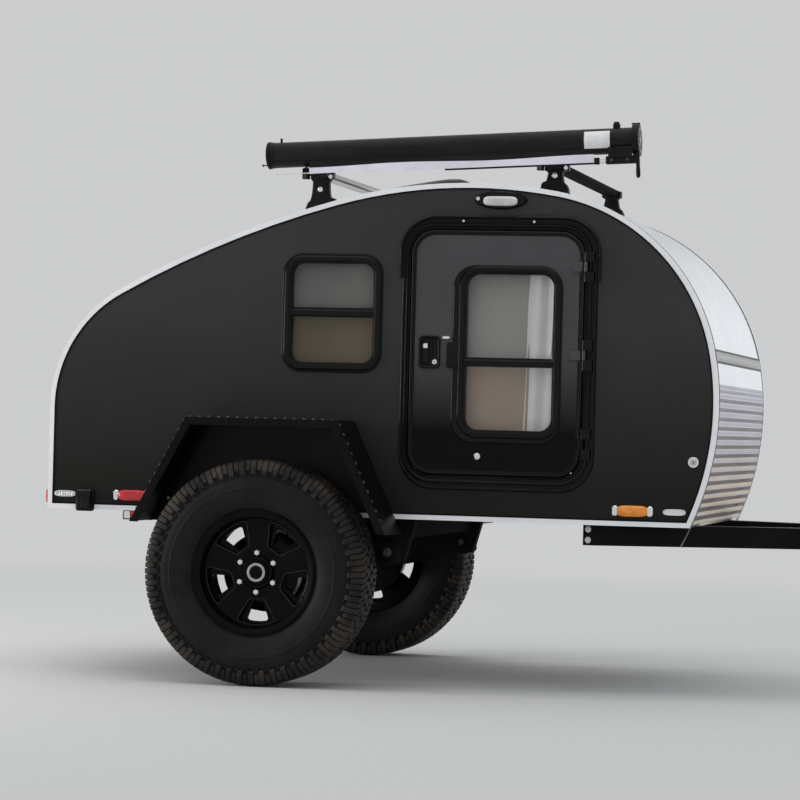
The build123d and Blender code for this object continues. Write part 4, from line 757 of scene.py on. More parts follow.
def sheet_size(rows):
    # Length along the middle row and along the middle column of a cloth grid, in metres.
    across = rows[len(rows) // 2]
    down = [row[len(row) // 2] for row in rows]
    return [round(sum((b - a).length for a, b in zip(line, line[1:])), 3) for line in (across, down)]


def rod(kit, x0, x1, y, z, radius, mat=0):
    ends = [pt(x, y, z) for x in (x0 - 6, x0 - 2, x1 + 2, x1 + 6)]
    tube(kit, ends, [radius * 0.75, radius, radius, radius * 0.75], 14, mat)


def blind(name, pane, depth, way, body, cloth):
    # Cloth roller blind behind a pane, with its roller above and a slat at its foot.
    rect = (pane[0] + 2, pane[1] - 2, pane[2] - 4, pane[3] + 14)
    rows = []
    for j in range(25):
        z = lerp(rect[2], rect[3], j / 24)
        row = []
        for i in range(17):
            x = lerp(rect[0], rect[1], i / 16)
            wave = 1.4 * noise.noise(Vector((x / 90, z / 260, 3.0)))
            row.append(pt(x, way * (depth + wave), z))
        rows.append(row)
    kit = Kit()
    kit.loft(rows, closed=False)
    piece = kit.make(name, [cloth], body, slot="mattress_cloth", sharp=60)
    sheet_size(rows)
    kit = Kit()
    rod(kit, rect[0], rect[1], way * depth, rect[3], 9)
    rod(kit, rect[0], rect[1], way * depth, rect[2], 3.4)
    kit.make(name + "_rail", ["ivory"], body, slot="mattress_cloth", sharp=40)


def curtain(side, way):
    # Pale gathered curtain at the front edge of the door pane, wider towards its foot, with a wand.
    foot, head, front = 893.0, 1516.0, 1030.0
    rows = []
    for j in range(45):
        share = j / 44
        rear = 897 + 24 * share**2 + 5 * math.sin(5 * share)
        row = []
        for i in range(85):
            run = i / 84
            fold = math.sin(2 * math.pi * 2.4 * run + 0.6 * math.sin(3 * share + run * 5))
            depth = HALF_IN - 3 - 4.2 * (0.8 + 0.2 * math.cos(2.2 * share + 4 * run)) * (1 + fold)
            row.append(pt(lerp(rear, front, run), way * depth, lerp(foot, head, share)))
        rows.append(row)
    kit = Kit()
    kit.loft(rows, closed=False)
    piece = kit.make("door_curtain_" + side, ["curtain"], "door_" + side, slot="mattress_cloth", sharp=70)
    sheet_size(rows)
    kit = Kit()
    rod(kit, 892, front + 6, way * (HALF_IN - 9), head + 5, 5)
    line = ((1001, 1476), (1000, 1420), (999, 1320), (997, 1225), (995, 1198))
    wand = [pt(x, way * 735.2, z) for x, z in line]
    tube(kit, wand, [3.2, 3.6, 3.6, 3.8, 6.2], 12)
    dome(kit, pt(1000, way * 734.0, 1480), Vector((0, way, 0)), 8, 3)
    kit.make("door_curtain_rail_" + side, ["ivory"], "door_" + side, slot="mattress_cloth", sharp=40)


for side, way in zip(SIDES, (-1, 1)):
    blind("door_blind_" + side, PANE, DOOR_FACE - 41, way, "door_" + side, "door_blind")
    blind("side_blind_" + side, SIDE_PANE, HALF_IN - 4, way, "trailer", "side_blind")
    curtain(side, way)

# Lamps and fittings on the side walls


def oval(x, z, length, width, power, count=48):
    points = []
    for a in circle(count):
        c, s = math.cos(a), math.sin(a)
        dx = math.copysign(abs(c) ** (2 / power), c)
        dz = math.copysign(abs(s) ** (2 / power), s)
        points.append((x + length / 2 * dx, z + width / 2 * dz))
    return points


def oval_form(kit, x, z, length, width, power, profile, mat=0, face=HALF_OUT):
    # Profile columns: inset, height above the wall
    rings = []
    for less, rise in profile:
        edge = oval(x, z, length - 2 * less, width - 2 * less, power)
        rings.append([pt(a, -(face + rise), b) for a, b in edge])
    kit.loft(rings, mat, caps=True)


def ribbed_lens(kit, x0, x1, z, half_w, face, lift, ribs, mat, bulge=4):
    # A domed lens with fine ribs across it.
    rows = []
    for i in range(ribs + 1):
        x = lerp(x0, x1, i / ribs)
        away = abs(2 * (x - (x0 + x1) / 2) / (x1 - x0))
        half = half_w * (1 - away**bulge) ** 0.5 + 0.2
        rise = lift * (1 - away**bulge) ** 0.5 + 0.4 - (0.7 if i % 2 else 0.0)
        turns = [math.pi * j / 12 for j in range(13)]
        row = [(max(0.2, rise) * math.sin(a) ** 0.7, half * math.cos(a)) for a in turns]
        rows.append([pt(x, -(face + out), z + up) for out, up in row])
    kit.loft(rows, mat, closed=False)


@one_piece("porch_lamp_set", ["gloss", "lens", "chrome"], swap=["porch_lamps"], slot="chrome")
def porch_lamps(kit):
    # Black almond base with a small pale lens and a plated screw at its rear end.
    base = [(0, 0), (0, 5), (1.5, 6.6), (4.6, 12), (8, 13), (12, 13)]
    oval_form(kit, 806, 1748, 191, 67, 1.85, base, 0)
    oval_form(kit, 805, 1744.5, 133, 41, 2.9, [(0, 12), (0, 14.4), (2, 15.4), (4, 13.6)], 0)
    ribbed_lens(kit, 742, 869, 1744, 17.5, HALF_OUT + 12.6, 11, 56, 1, 6)
    dome(kit, pt(724, -(HALF_OUT + 11.5), 1752), OUT, 7.5, 4, 2)
    dome(kit, pt(888, -(HALF_OUT + 11.5), 1748), OUT, 3.4, 1.8, 0)


def marker(name, swap, rect, lens):
    # Marker lamp: black base, plated ends with screws, ribbed coloured lens.
    x0, x1, z0, z1 = rect
    kit = Kit()
    x, z = (x0 + x1) / 2, (z0 + z1) / 2
    oval_form(kit, x, z, x1 - x0, z1 - z0, 3.6, [(0, 0), (0, 3), (1.5, 5), (4, 5.5)], 1)
    for end in (x0 + 2, x1 - 24):
        plate(kit, (end, end + 22, z0 + 4, z1 - 4), 9, HALF_OUT + 4, HALF_OUT + 11, 3.0, 2)
        hex_head(kit, pt(end + 11, -(HALF_OUT + 10.6), z), OUT, 2.6, 2.2, 2)
    ribbed_lens(kit, x0 + 19, x1 - 19, z, (z1 - z0) / 2 - 2, HALF_OUT + 4, 14.4, 40, 0, 6)
    kit.both()
    kit.make(name, [lens, "plastic", "chrome"], swap=[swap], slot=lens)


marker("amber_marker_set", "amber_markers", (1230, 1381, 633, 677), "amber")
marker("red_marker_set", "red_markers", (-606, -455, 634, 678), "red")


# Middles of the oblong vents and of the key lock: length, height
VENTS = ((1455.0, 655.0), (-788.0, 656.0))
KEY_LOCK = (1518.0, 833.0)


@one_piece("side_fitting_set", ["chrome", "zinc", "plastic"], swap=["side_fittings"], slot="chrome")
def side_fittings(kit):
    # Plated oblong vents with fins, and round key locks.
    for x, z in VENTS:
        rim = [(0, 0), (0, 2.5), (1.2, 4.8), (3.2, 5.6), (4.4, 3.8), (5, 2.6)]
        oval_form(kit, x, z, 82.6, 24.6, 3.2, rim, 0)
        for i in range(7):
            fin = x + 9.7 * (i - 3)
            block(kit, (fin - 2.6, fin + 2.6), (-HALF_OUT - 4.9, -HALF_OUT - 1), (z - 6, z + 6), 0.8)
    x, z = KEY_LOCK
    at = pt(x, -HALF_OUT, z)
    spin(kit, at, OUT, [(20.3, 0), (20.3, 3), (18.8, 6.3), (15, 7), (12.6, 6.4), (11.8, 3.4)], 36, 0)
    spin(kit, at, OUT, [(10.6, 2), (10.6, 6.6), (9.4, 7.6), (3.5, 7.6), (3, 6.6)], 28, 1)
    block(kit, (x - 1.1, x + 1.1), (-HALF_OUT - 7.9, -HALF_OUT - 6), (z - 5, z + 5), 0.3, 2)


TAIL_LAMP = (-715.0, -565.0, 613.0, 675.0)


@one_piece("tail_lamp_set", ["red", "gloss", "chrome"], swap=["tail_lamps"], slot="red")
def tail_lamps(kit):
    # Black base, red lens with upright ribs, two plated screws. Columns: inset, start, height, material
    for inset, start, rise, mat in ((0, 0, 8, 1), (4, 6, 26, 0)):
        rings = []
        for more, run in ((0, start), (0, rise - 2), (1.5, rise - 0.4), (4, rise)):
            less = inset + more
            edge = rounded(*grow(TAIL_LAMP, -less), 20 - less * 0.6)
            rings.append([pt(REAR_X - run, y, z) for y, z in edge])
        kit.loft(rings, mat, caps=True)
    for i in range(7):
        y = lerp(-703, -577, i / 6)
        block(kit, (REAR_X - 26, REAR_X - 24), (y - 4, y + 4), (622, 666), 0.8)
    for y in (-707.5, -572.5):
        dome(kit, pt(REAR_X - 7.6, y, 644), Vector((-1, 0, 0)), 3.6, 2, 2)


@one_piece("power_inlet_box", ["plastic", "dark_steel"], swap=["power_inlet"], slot="black_plastic", sharp=32,
           both=False)
def power_inlet(kit):
    # Flanged box with a hinged cover, its hinge pin, four screws and grip ribs.
    face = HALF_OUT + 2
    plate(kit, (-745, -676, 594, 672), 9, face, face + 9, 2.5)
    plate(kit, (-738, -683, 602, 666), 8, face + 8, face + 30, 4.0)
    plate(kit, (-740, -681, 647, 668), 6, face + 20, face + 32, 3.0)
    tube(kit, [pt(x, -(face + 18), 668) for x in (-735, -725, -696, -686)], 4.6, 14, 1)
    for x in (-741, -680):
        for z in (600, 655):
            dome(kit, pt(x, -(face + 8.6), z), OUT, 2.6, 1.4, 1)
    for i in range(4):
        x = -729 + i * 11
        block(kit, (x, x + 5), (-face - 31, -face - 28), (608, 636), 0.8)


# Front of the body: joint strip, tread plate and grey edge strips of painted shadow
FRONT = [p for p in outline(0.5) if p[0] > 1300 and p[1] < 1330]
RUN = [0.0]
for p, q in zip(FRONT, FRONT[1:]):
    RUN.append(RUN[-1] + math.hypot(q[0] - p[0], q[1] - p[1]))
EDGE_Y = HALF_IN - 2
SEAM_Z = 1212.0


def front_at(run, off):
    # A point of the front face at a distance along it, raised by off.
    k = max(0, min(bisect.bisect(RUN, run) - 1, len(RUN) - 2))
    share = (run - RUN[k]) / (RUN[k + 1] - RUN[k])
    x, z, a = (lerp(p, q, share) for p, q in zip(FRONT[k], FRONT[k + 1]))
    return x - math.sin(a) * off, z + math.cos(a) * off


def run_at(z):
    return min(RUN, key=lambda run: abs(front_at(run, 0)[1] - z))


def across(kit, profile, mat=0):
    # A strip over the whole width. Profile columns: distance along the front face, height
    rows = []
    for run, off in profile:
        x, z = front_at(run, off)
        rows.append([pt(x, -EDGE_Y, z), pt(x, EDGE_Y, z)])
    kit.loft([list(row) for row in zip(*rows)], mat, closed=False)


@one_piece("front_seam_strip", ["bar", "dark_steel"], slot="trim", both=False)
def front_seam(kit):
    # Joint strip with a rib, thin dark lips at both its edges that are painted shadow gaps, and two rows of
    # rivets.
    seam = run_at(SEAM_Z)
    half = [(17, 0.2), (17, 2.2), (15.5, 3.2), (7, 3.0), (3, 4.6)]
    across(kit, [(seam - s, h) for s, h in half] + [(seam + s, h) for s, h in reversed(half)])
    # Dark lips at both edges: painted shadow lines where the strip meets the sheet.
    for start in (seam - 26, seam + 16):
        across(kit, [(start, 0.3), (start + 1, 2), (start + 9, 2), (start + 10, 0.3)], 1)
    for i in range(17):
        y = lerp(25 - EDGE_Y, EDGE_Y - 25, i / 16)
        for run in (seam - 11, seam + 11):
            low, high = front_at(run, 2.8), front_at(run, 10)
            foot = pt(low[0], y, low[1])
            dome(kit, foot, pt(high[0], y, high[1]) - foot, 3.4, 1.6)


LOZENGE = ((-1, 0), (-0.55, 0.8), (0, 1), (0.55, 0.8), (1, 0), (0.55, -0.8), (0, -1), (-0.55, -0.8))
TREAD_ROW = 16.5
TREAD_HEAD = 1108.0


def tread_row(kit, run, turn, first, mat):
    # One row of slanted lozenges across the front.
    c, s = math.cos(turn), math.sin(turn)
    for j in range(first, int((2 * EDGE_Y - 32) / TREAD_ROW), 2):
        rings = []
        for size, length, off in ((1.0, 1.0, 1.5), (0.55, 0.78, 3.4)):
            row = []
            for u, w in LOZENGE:
                u, w = u * 10.5 * length, w * 3.8 * size
                x, z = front_at(run + u * s + w * c, off)
                row.append(pt(x, 18 - EDGE_Y + j * TREAD_ROW + u * c - w * s, z))
            rings.append(row)
        kit.loft(rings, mat)
        kit.add(rings[1], [tuple(range(8))], mat)


@one_piece("front_tread_plate", ["roof", "painted_bright_reflection_row", "painted_dark_reflection_row"], slot="ribbed_aluminium", sharp=20,
           both=False)
def tread_plate(kit):
    # Thin sheet from the seam to the foot: plain at its head, then rows of lozenges that slant in turn.
    head, start, end = run_at(SEAM_Z) + 17, run_at(TREAD_HEAD), run_at(FOOT_Z + 3)
    across(kit, [(lerp(head, start, i / 8), 1.6) for i in range(9)])
    count = int((end - start) / TREAD_ROW)
    for i in range(count):
        run = start + i * TREAD_ROW
        # Alternate rows take the painted bright and the painted dark reflection.
        mat = 2 if i % 2 and i > 1 else 1
        across(kit, [(run, 1.6), (run + TREAD_ROW, 1.6)], mat)
        tread_row(kit, run + TREAD_ROW / 2, math.radians(45 if i % 2 else -45), i % 2, mat)
    across(kit, [(start + count * TREAD_ROW, 1.6), (end, 1.6)], 1)


@one_piece("roof_edge_shadow_strips", ["shadow_grey"], slot="trim")
def edge_shadow_strips(kit):
    # Grey strips between the wall mouldings and the sheet, over the roof and down the front: a painted shadow
    # line at the sheet's edge.
    rows = []
    for x, z, a in outline(2.0):
        if x < -95 or (x < -60 and z < 1640):
            continue
        strip = [(-735, 0.2), (-735, 1.8), (-733, 2.4), (-712, 2.4), (-710, 1.6), (-710, 0.2)]
        rows.append([pt(x - math.sin(a) * off, y, z + math.cos(a) * off) for y, off in strip])
    kit.loft(rows, closed=False)


@one_piece("wall_edge_beads", ["matt"], slot="rubber")
def wall_beads(kit):
    # Black sealing bead on the inner edge of the bright moulding, round the whole wall.
    rings = []
    for inset, rise in ((21.2, 1.6), (21.0, 2.8), (17.8, 3.0), (15.6, 2.8), (15.4, 1.6)):
        edge = [(x + inset * math.sin(a), z - inset * math.cos(a)) for x, z, a in outline(2.0)]
        edge = [(REAR_X + inset, FOOT_Z + inset)] + [p for p in edge if p[1] > FOOT_Z + inset + 1]
        (x0, z0), (x1, z1) = edge[-2:]
        edge.append((lerp(x0, x1, (FOOT_Z + inset - z0) / (z1 - z0)), FOOT_Z + inset))
        rings.append([pt(x, -(HALF_OUT + rise), z) for x, z in edge])
    kit.loft(rings)


# Fenders
FENDER_PATH = [Vector(p) for p in ((-461.0, 570.0), (-263.0, 948.0), (290.0, 948.0), (474.0, 550.0))]
FENDER_FACE = 1036.0
BOLT_STEP = 34.0
FLANGE_STEP = 120.0
# Middle of the screw on the wall behind the fender: length, height
WALL_SCREW = (-395, 652)


@one_piece("fender_bolts", ["frame", "dark_steel", "zinc"], slot="black_frame", sharp=32)
def fender_bolts(kit):
    # Domed bolts along the outer edge, more on the flange, and hex screws on the wall flange.
    for p, q in zip(FENDER_PATH, FENDER_PATH[1:]):
        way = (q - p).normalized()
        off = Vector((-way.y, way.x))
        count = int((q - p).length / BOLT_STEP)
        for i in range(count):
            c = p + (q - p) * (i + 0.5) / count
            dome(kit, pt(c.x, -FENDER_FACE + 11, c.y), Vector((off.x, 0, off.y)), 6.4, 5.2, 1)
            c = c - off * 15
            dome(kit, pt(c.x, -FENDER_FACE, c.y), OUT, 4.4, 2.2)
        count = int((q - p).length / FLANGE_STEP)
        for i in range(count):
            c = p + (q - p) * (i + 0.5) / count - off * 16
            if c.y > 640:
                hex_head(kit, pt(c.x, -(HALF_OUT + 4), c.y), OUT, 4.6, 3.6)
    hex_head(kit, pt(WALL_SCREW[0], -(HALF_OUT + 0.2), WALL_SCREW[1]), OUT, 5.5, 4.5, 2)


@one_piece("rear_reflectors", ["patch", "reflector"], slot="red", sharp=32)
def rear_reflectors(kit):
    # Red and white strips on the foot plate behind the wheel.
    for i in range(4):
        x = -561 + i * 25.4
        plate(kit, (x, x + 23, 572, 598), 2, DOOR_FACE - 0.2, DOOR_FACE + 1.4, 0.5, i % 2)


# Roof rack. Columns: length, height of the bar's middle, length of its foot
BARS = ((125.0, 1838.0, 110.0), (985.0, 1878.0, 100.0))
FOOT_Y = -672.0
BAR_END = 727.0


def foot_row(bar_x, half_l, half_w, z, tilt):
    # One level of a foot, tilted by a share of the roof's slope.
    slope = math.tan(roof_at(bar_x)[1]) * tilt
    flat = rounded(-half_l, half_l, -half_w, half_w, 8, 5)
    return [pt(bar_x + x, FOOT_Y + y, z + slope * x) for x, y in flat]


@one_piece("rack_foot_set", ["plastic", "rubber", "chrome"], swap=["rack_feet"], slot="black_plastic",
           sharp=34)
def rack_feet(kit):
    # Rubber pad, wide stepped base, narrowing tower with its lock, clamp jaws on both sides of the bar.
    for bar_x, bar_z, foot_l in BARS:
        roof_z = roof_at(bar_x)[0]
        half = foot_l / 2
        # Columns: half length, half width, height, share of the roof's slope
        pad = ((half + 3, 29, roof_z + 0.4, 1), (half + 3, 29, roof_z + 5, 1), (half, 27, roof_z + 7, 1))
        kit.loft([foot_row(bar_x, *level) for level in pad], 1, caps=True)
        tower = (
            (half, 26, roof_z + 6, 1), (half - 1, 26, roof_z + 20, 1), (half - 8, 25, roof_z + 31, 0.7),
            (half - 18, 24, roof_z + 37, 0.4), (half - 20, 22, roof_z + 44, 0.2),
            (half - 23, 21, roof_z + 62, 0), (half - 25, 20.5, bar_z - 26, 0),
            (half - 20, 21, bar_z - 20, 0), (half - 18, 22, bar_z - 13, 0),
        )
        kit.loft([foot_row(bar_x, *level) for level in tower], caps=True)
        for near, far in ((-37.5, -29.6), (29.6, 37.5)):
            block(kit, (bar_x + near, bar_x + far), (FOOT_Y - 22, FOOT_Y + 22), (bar_z - 18, bar_z + 9), 2.5)
        lock = pt(bar_x, FOOT_Y - 19.5, lerp(roof_z + 60, bar_z - 26, 0.4) - 4)
        spin(kit, lock, OUT, [(10.5, 0), (10.5, 3), (9.4, 4.2), (8.4, 4.0), (8.0, 3.0)], 28, 2)
        spin(kit, lock, OUT, [(7.8, 1), (7.8, 3.8), (6.6, 4.6), (0, 4.8)], 24, 2)


@one_piece("crossbar_set", ["bar", "matt", "rubber", "plastic"], swap=["crossbars"], slot="black_frame",
           sharp=34, both=False)
def crossbars(kit):
    # Rear bar in plain aluminium, front one black, each with a rubber-filled slot and end caps.
    for mat, (bar_x, bar_z, _) in enumerate(BARS):
        flat = rounded(-29, 29, -12.5, 12.5, 9, 5)
        ends = (-BAR_END, BAR_END)
        kit.loft([[pt(bar_x + x, y, bar_z + z) for x, z in flat] for y in ends], mat, caps=True)
        for x in (bar_x - 6.5, bar_x + 6.5):
            block(kit, (x - 2.2, x + 2.2), (1 - BAR_END, BAR_END - 1), (bar_z + 11.5, bar_z + 13), 0.6, 2)
        for side in (-1, 1):
            rings = []
            for less, y in ((0, BAR_END - 1), (0, BAR_END + 6), (2.5, BAR_END + 8)):
                flat = rounded(less - 30, 30 - less, less - 13, 13 - less, 10 - less, 5)
                rings.append([pt(bar_x + x, side * y, bar_z + z) for x, z in flat])
            kit.loft(rings, 3, caps=True)


# Rolled awning. Its axis runs from the rear end up to the front
AWN_REAR = Vector((-60.0, -700.0, 1904.6))
AWN_L = 1341.5
AWN_TILT = math.radians(2.86)
AWN_R = 46.6
AWN_WAY = Vector((math.cos(AWN_TILT), 0, math.sin(AWN_TILT)))
AWN_UP = Vector((-math.sin(AWN_TILT), 0, math.cos(AWN_TILT)))


def awn(run, y, z):
    # Along the awning from its rear end, towards the middle of the trailer, up from its axis.
    p = AWN_REAR + AWN_WAY * run + AWN_UP * z
    return pt(p.x, p.y + y, p.z)


def awn_ring(run, radius, count=56):
    return [awn(run, radius * math.cos(a), radius * math.sin(a)) for a in circle(count)]


@one_piece("awning_bag", ["bag", "plastic"], swap=["awning_case"], slot="awning_cloth", sharp=50, both=False)
def awning_bag(kit):
    # Slightly uneven roll with a band at each end and a stitched seam.
    rows = []
    for i in range(91):
        run = AWN_L * i / 90
        row = []
        for a in circle(56):
            c, s = math.cos(a), math.sin(a)
            slow = noise.noise(Vector((run / 420, c * 0.7 + 9, s * 0.7)))
            quick = noise.noise(Vector((run / 160, c * 1.3, s * 1.3)))
            radius = AWN_R * (1 + 0.008 * quick + 0.010 * slow - 0.010)
            row.append(awn(run, radius * c, radius * s))
        rows.append(row)
    kit.loft(rows, caps=True)
    for start in (3, AWN_L - 17):
        steps = ((0, 0), (1, 0.6), (13, 0.6), (14, 0))
        kit.loft([awn_ring(start + run, AWN_R + rise) for run, rise in steps], 1)
    seam = []
    for i in range(121):
        run = lerp(20, AWN_L - 20, i / 120)
        tooth = 0.4 * (i % 2)
        section = ((-5, 0.2), (-2.8, 1.2), (-0.7, 1.5 + tooth), (0.7, 1.9 - tooth), (2.8, 1.2), (5, 0.2))
        row = []
        for turn, rise in section:
            a = math.radians(218 + turn)
            row.append(awn(run, (AWN_R + rise) * math.cos(a), (AWN_R + rise) * math.sin(a)))
        seam.append(row)
    kit.loft(seam, 1, closed=False)


@one_piece("awning_patch", ["patch"], slot="awning_cloth", sharp=60, both=False)
def awning_patch(kit):
    # Blank pale patch on the near side.
    rows = []
    for i in range(9):
        run = lerp(AWN_L - 184, AWN_L - 92, i / 8)
        turns = [math.radians(lerp(133, 214, j / 12)) for j in range(13)]
        rows.append([awn(run, (AWN_R + 0.9) * math.cos(a), (AWN_R + 0.9) * math.sin(a)) for a in turns])
    kit.loft(rows, closed=False)


@one_piece("awning_end_set", ["plastic", "dark_steel", "bar", "ivory"], swap=["awning_ends"],
           slot="black_plastic", sharp=32, both=False)
def awning_ends(kit):
    # Moulded caps, side plate with the folded arm, hanging handle, top knob, rear fin and pin.

    def turned(start, profile, mat=0):
        kit.loft([awn_ring(start + run, radius, 48) for run, radius in profile], mat, caps=True)

    turned(0, [(1, 47.6), (1, 49.4), (-8, 49.4), (-10, 46), (-10, 12)])
    turned(AWN_L, [(-14, 47.2), (-14, 56), (-12, 59.6), (7, 59.6), (10, 57), (11.6, 50), (11.8, 10)])
    turned(AWN_L + 10, [(0, 46), (2.0, 45), (2.2, 41), (0.6, 39)], 2)
    turned(AWN_L + 10, [(0, 14), (2.0, 13), (2.4, 8), (2.4, 3)], 2)
    for a in circle(10):
        spoke = [awn(AWN_L + 11.4, r * math.cos(a), r * math.sin(a)) for r in (14, 26, 39)]
        tube(kit, spoke, 1.7, 8, 2)
    top = AWN_L - 72
    # Columns: run, sideways, up, chamfer, material
    parts = (
        ((36, 44), (-2.5, 2.5), (46, 61), 1.0, 0),
        ((top - 12, top + 12), (-12, 12), (44, 62), 2.0, 0),
        ((top - 9, top + 9), (-9, 9), (61, 68.4), 2.0, 0),
        ((AWN_L - 18, AWN_L + 12), (-9, 9), (57, 61.5), 1.0, 0),
        ((AWN_L - 98, AWN_L - 12), (-53, -48), (-64, -24), 1.5, 0),
        ((AWN_L - 108, AWN_L + 6), (-47, -25), (-85, -56), 3.0, 0),
        ((AWN_L - 132, AWN_L - 106), (-42, -30), (-80, -66), 2.0, 3),
        ((AWN_L - 150, AWN_L - 131), (-44, -28), (-84, -60), 2.0, 0),
        ((AWN_L, AWN_L + 12), (-46, -26), (-96, -44), 2.0, 0),
    )
    for run, y, z, cut, mat in parts:
        block(kit, run, y, z, cut, mat, awn)
    lever = [awn(AWN_L + 6, -36, z) for z in (-92, -104, -122, -132, -137)]
    tube(kit, lever, [6, 7.5, 8, 7, 3.5], 16)
    tube(kit, [awn(run, -30, -38) for run in (-8, -14, -22)], [2, 2, 2], 8)
    spin(kit, awn(-20, -30, -38), -AWN_WAY, [(2, 0), (4.4, 1.5), (4.4, 5), (2, 7)], 12)
    for run in (AWN_L - 86, AWN_L - 30):
        spin(kit, awn(run, -47, -70), OUT, [(6, 0), (6, 1.6), (4, 2.6), (0, 2.8)], 16, 1)
    # Hem rod, bare at the rear and dark under the strip in front.
    tube(kit, [awn(run, -34, -72) for run in (16, 60, 110, 160)], 2.6, 10, 3)
    tube(kit, [awn(run, -34, -79.5) for run in (650, 800, 1000, 1190)], 3.4, 10)


def awning_hem():
    # Strip that hangs from the near side of the bag, dark at its head and pale below a wavy line.
    rows = []
    for j in range(9):
        row = []
        for i in range(161):
            run = lerp(150, AWN_L - 150, i / 160)
            middle = 50 + 3.2 * math.sin(run / 105)
            foot = 77 + 2.2 * math.sin(run / 88 + 2) - 2.5 * run / AWN_L
            drop = lerp(29, middle, j / 3) if j < 3 else lerp(middle, foot, (j - 3) / 5)
            side = 37.6 + 1.1 * math.sin(0.3 * j) * (1 + math.sin(run / 75))
            row.append(awn(run, -side, -drop))
        rows.append(row)
    kit = Kit()
    kit.loft(rows[:4], 1, closed=False)
    kit.loft(rows[3:], 0, closed=False)
    piece = kit.make("awning_hem", ["hem", "bag"], slot="awning_cloth", sharp=70)
    sheet_size(rows)


awning_hem()


@one_piece("awning_bracket_bolts", ["dark_steel", "chrome"], slot="black_frame", sharp=32, both=False)
def bracket_bolts(kit):
    # Bolts of the brackets on the crossbars, with a bright head on each outer leg.
    for bar_x, bar_z, _ in BARS:
        for x in (bar_x - 46, bar_x + 46):
            for y in (-726, -674):
                hex_head(kit, pt(x, y, bar_z + 20), UP, 6, 5, 0)
        hex_head(kit, pt(bar_x + 47, -736, bar_z - 10), OUT, 5, 4.4, 1)
        hex_head(kit, pt(bar_x - 47, -736, bar_z - 10), OUT, 5, 4.4, 0)


# Vent lid on its sloping seat. Columns: inset from the edge, rise over the seat, corner radius
VENT_SEAT = Vector((565.0, 0.0, 1818.0))
VENT_SLOPE = math.atan2(62.6, 360.0)
VENT_L = 365.4
LID_HALF_W = 194.0
LID_PROFILE = (
    (2, 5, 40), (0, 6, 40), (0, 15, 40), (2, 20, 41), (6, 29, 43), (14, 40, 46), (26, 50, 50), (44, 59, 54),
    (70, 66, 58), (104, 70.5, 60), (140, 72.4, 50),
)


@one_piece("vent_lid_dome", ["plastic"], "vent_lid", ["vent_lid"], "black_plastic", sharp=26, both=False)
def vent_lid(kit):
    # Domed lid with rounded shoulders and two hinge ears.
    c, s = math.cos(VENT_SLOPE), math.sin(VENT_SLOPE)
    rings = []
    for less, rise, radius in LID_PROFILE:
        flat = rounded(less - VENT_L - 14, 14 - less, less - LID_HALF_W, LID_HALF_W - less, radius)
        rings.append([pt(VENT_SEAT.x + u * c - rise * s, y, VENT_SEAT.z + u * s + rise * c) for u, y in flat])
    kit.loft(rings, caps=True)
    for side in (-1, 1):
        ear = sorted((side * 122.6, side * 136))
        block(kit, (573, 591), ear, (1809, 1836), 1.5)


# Drawbar, coupler and jack
JACK_X = 2330.0
LATCH_PIN_X = 2566.0


@one_piece("drawbar_bolts", ["ivory"], slot="zinc", sharp=32)
def drawbar_bolts(kit):
    # Two stacked bolts on the rear end of each drawbar arm.
    for z in (546, 584):
        hex_head(kit, pt(1139, -695.3, z), Vector((-0.258, -0.966, 0)), 8.0, 7.0)


@one_piece("coupler_fittings", ["zinc"], slot="zinc", sharp=32, both=False)
def coupler_fittings(kit):
    # Bolts on the coupler, its latch pin with a ring, screws on the jack's head and flange.
    for x, y in ((2478, -24), (2478, 24), (2536, -26), (2536, 26)):
        hex_head(kit, pt(x, y, FOOT_Z + 50), UP, 7, 6)
    tube(kit, [pt(LATCH_PIN_X, y, 628) for y in (-52, -46, 46, 52)], [3, 4, 4, 3])
    turns = [2 * math.pi * i / 16 for i in range(17)]
    tube(kit, [pt(LATCH_PIN_X + 13 * math.cos(a), -50, 616 + 13 * math.sin(a)) for a in turns], 1.6, 8)
    for a in (math.radians(45 + 90 * i) for i in range(4)):
        dome(kit, pt(JACK_X + 27 * math.cos(a), 27 * math.sin(a), 930), UP, 4, 2.4)
        hex_head(kit, pt(JACK_X + 39 * math.cos(a), 39 * math.sin(a), 621), UP, 4.5, 4)


@one_piece("jack_grip", ["plastic"], slot="black_plastic", both=False)
def jack_grip(kit):
    # Turned grip on the jack's crank.
    grip = [(12, -0.5), (15.5, 3), (16.5, 14), (14.8, 26), (16.5, 42), (16, 68), (13.8, 80.4), (6, 82)]
    spin(kit, pt(JACK_X, -138, 944), UP, grip)


# Galley and bed. Fronts of the cupboard. Columns: right edge, left edge, head
FRONTS = ((-725, -250, 880), (-725, -250, 1085), (-240, 240, 1085), (250, 725, 880), (250, 725, 1085))
FRONT_X = -699.0


@one_piece("galley_trim", ["dark_steel", "edge_ply"], slot="wood", both=False)
def galley_trim(kit):
    # Finger pulls on the cupboard fronts and ply lippings on the counter and the shelf.
    for y0, y1, head in FRONTS:
        y, z = (y0 + y1) / 2, head - 32
        rings = []
        for less, rise in ((0, -0.2), (0, 3.2), (4, 4.2), (7, 3), (7, 0.4)):
            flat = rounded(y - 46 + less, y + 46 - less, z - 12 + less, z + 12 - less, 11, 6)
            rings.append([pt(FRONT_X - rise, a, b) for a, b in flat])
        kit.loft(rings, 0, caps=True)
    block(kit, (-706, -699.6), (-734, 734), (1099, 1127.5), 2.0, 1)
    block(kit, (-405, -399.6), (-734, 734), (1359, 1379), 2.0, 1)


BED = (-383.0, 1453.0, -715.0, 715.0)
BED_LOW = 671.6
BED_HIGH = 754.0


def arch(away, reach):
    # Quarter round from 0 at an edge to 1 at a distance from it.
    return math.sqrt(max(0.0, 1 - (1 - min(away, reach) / reach) ** 2))


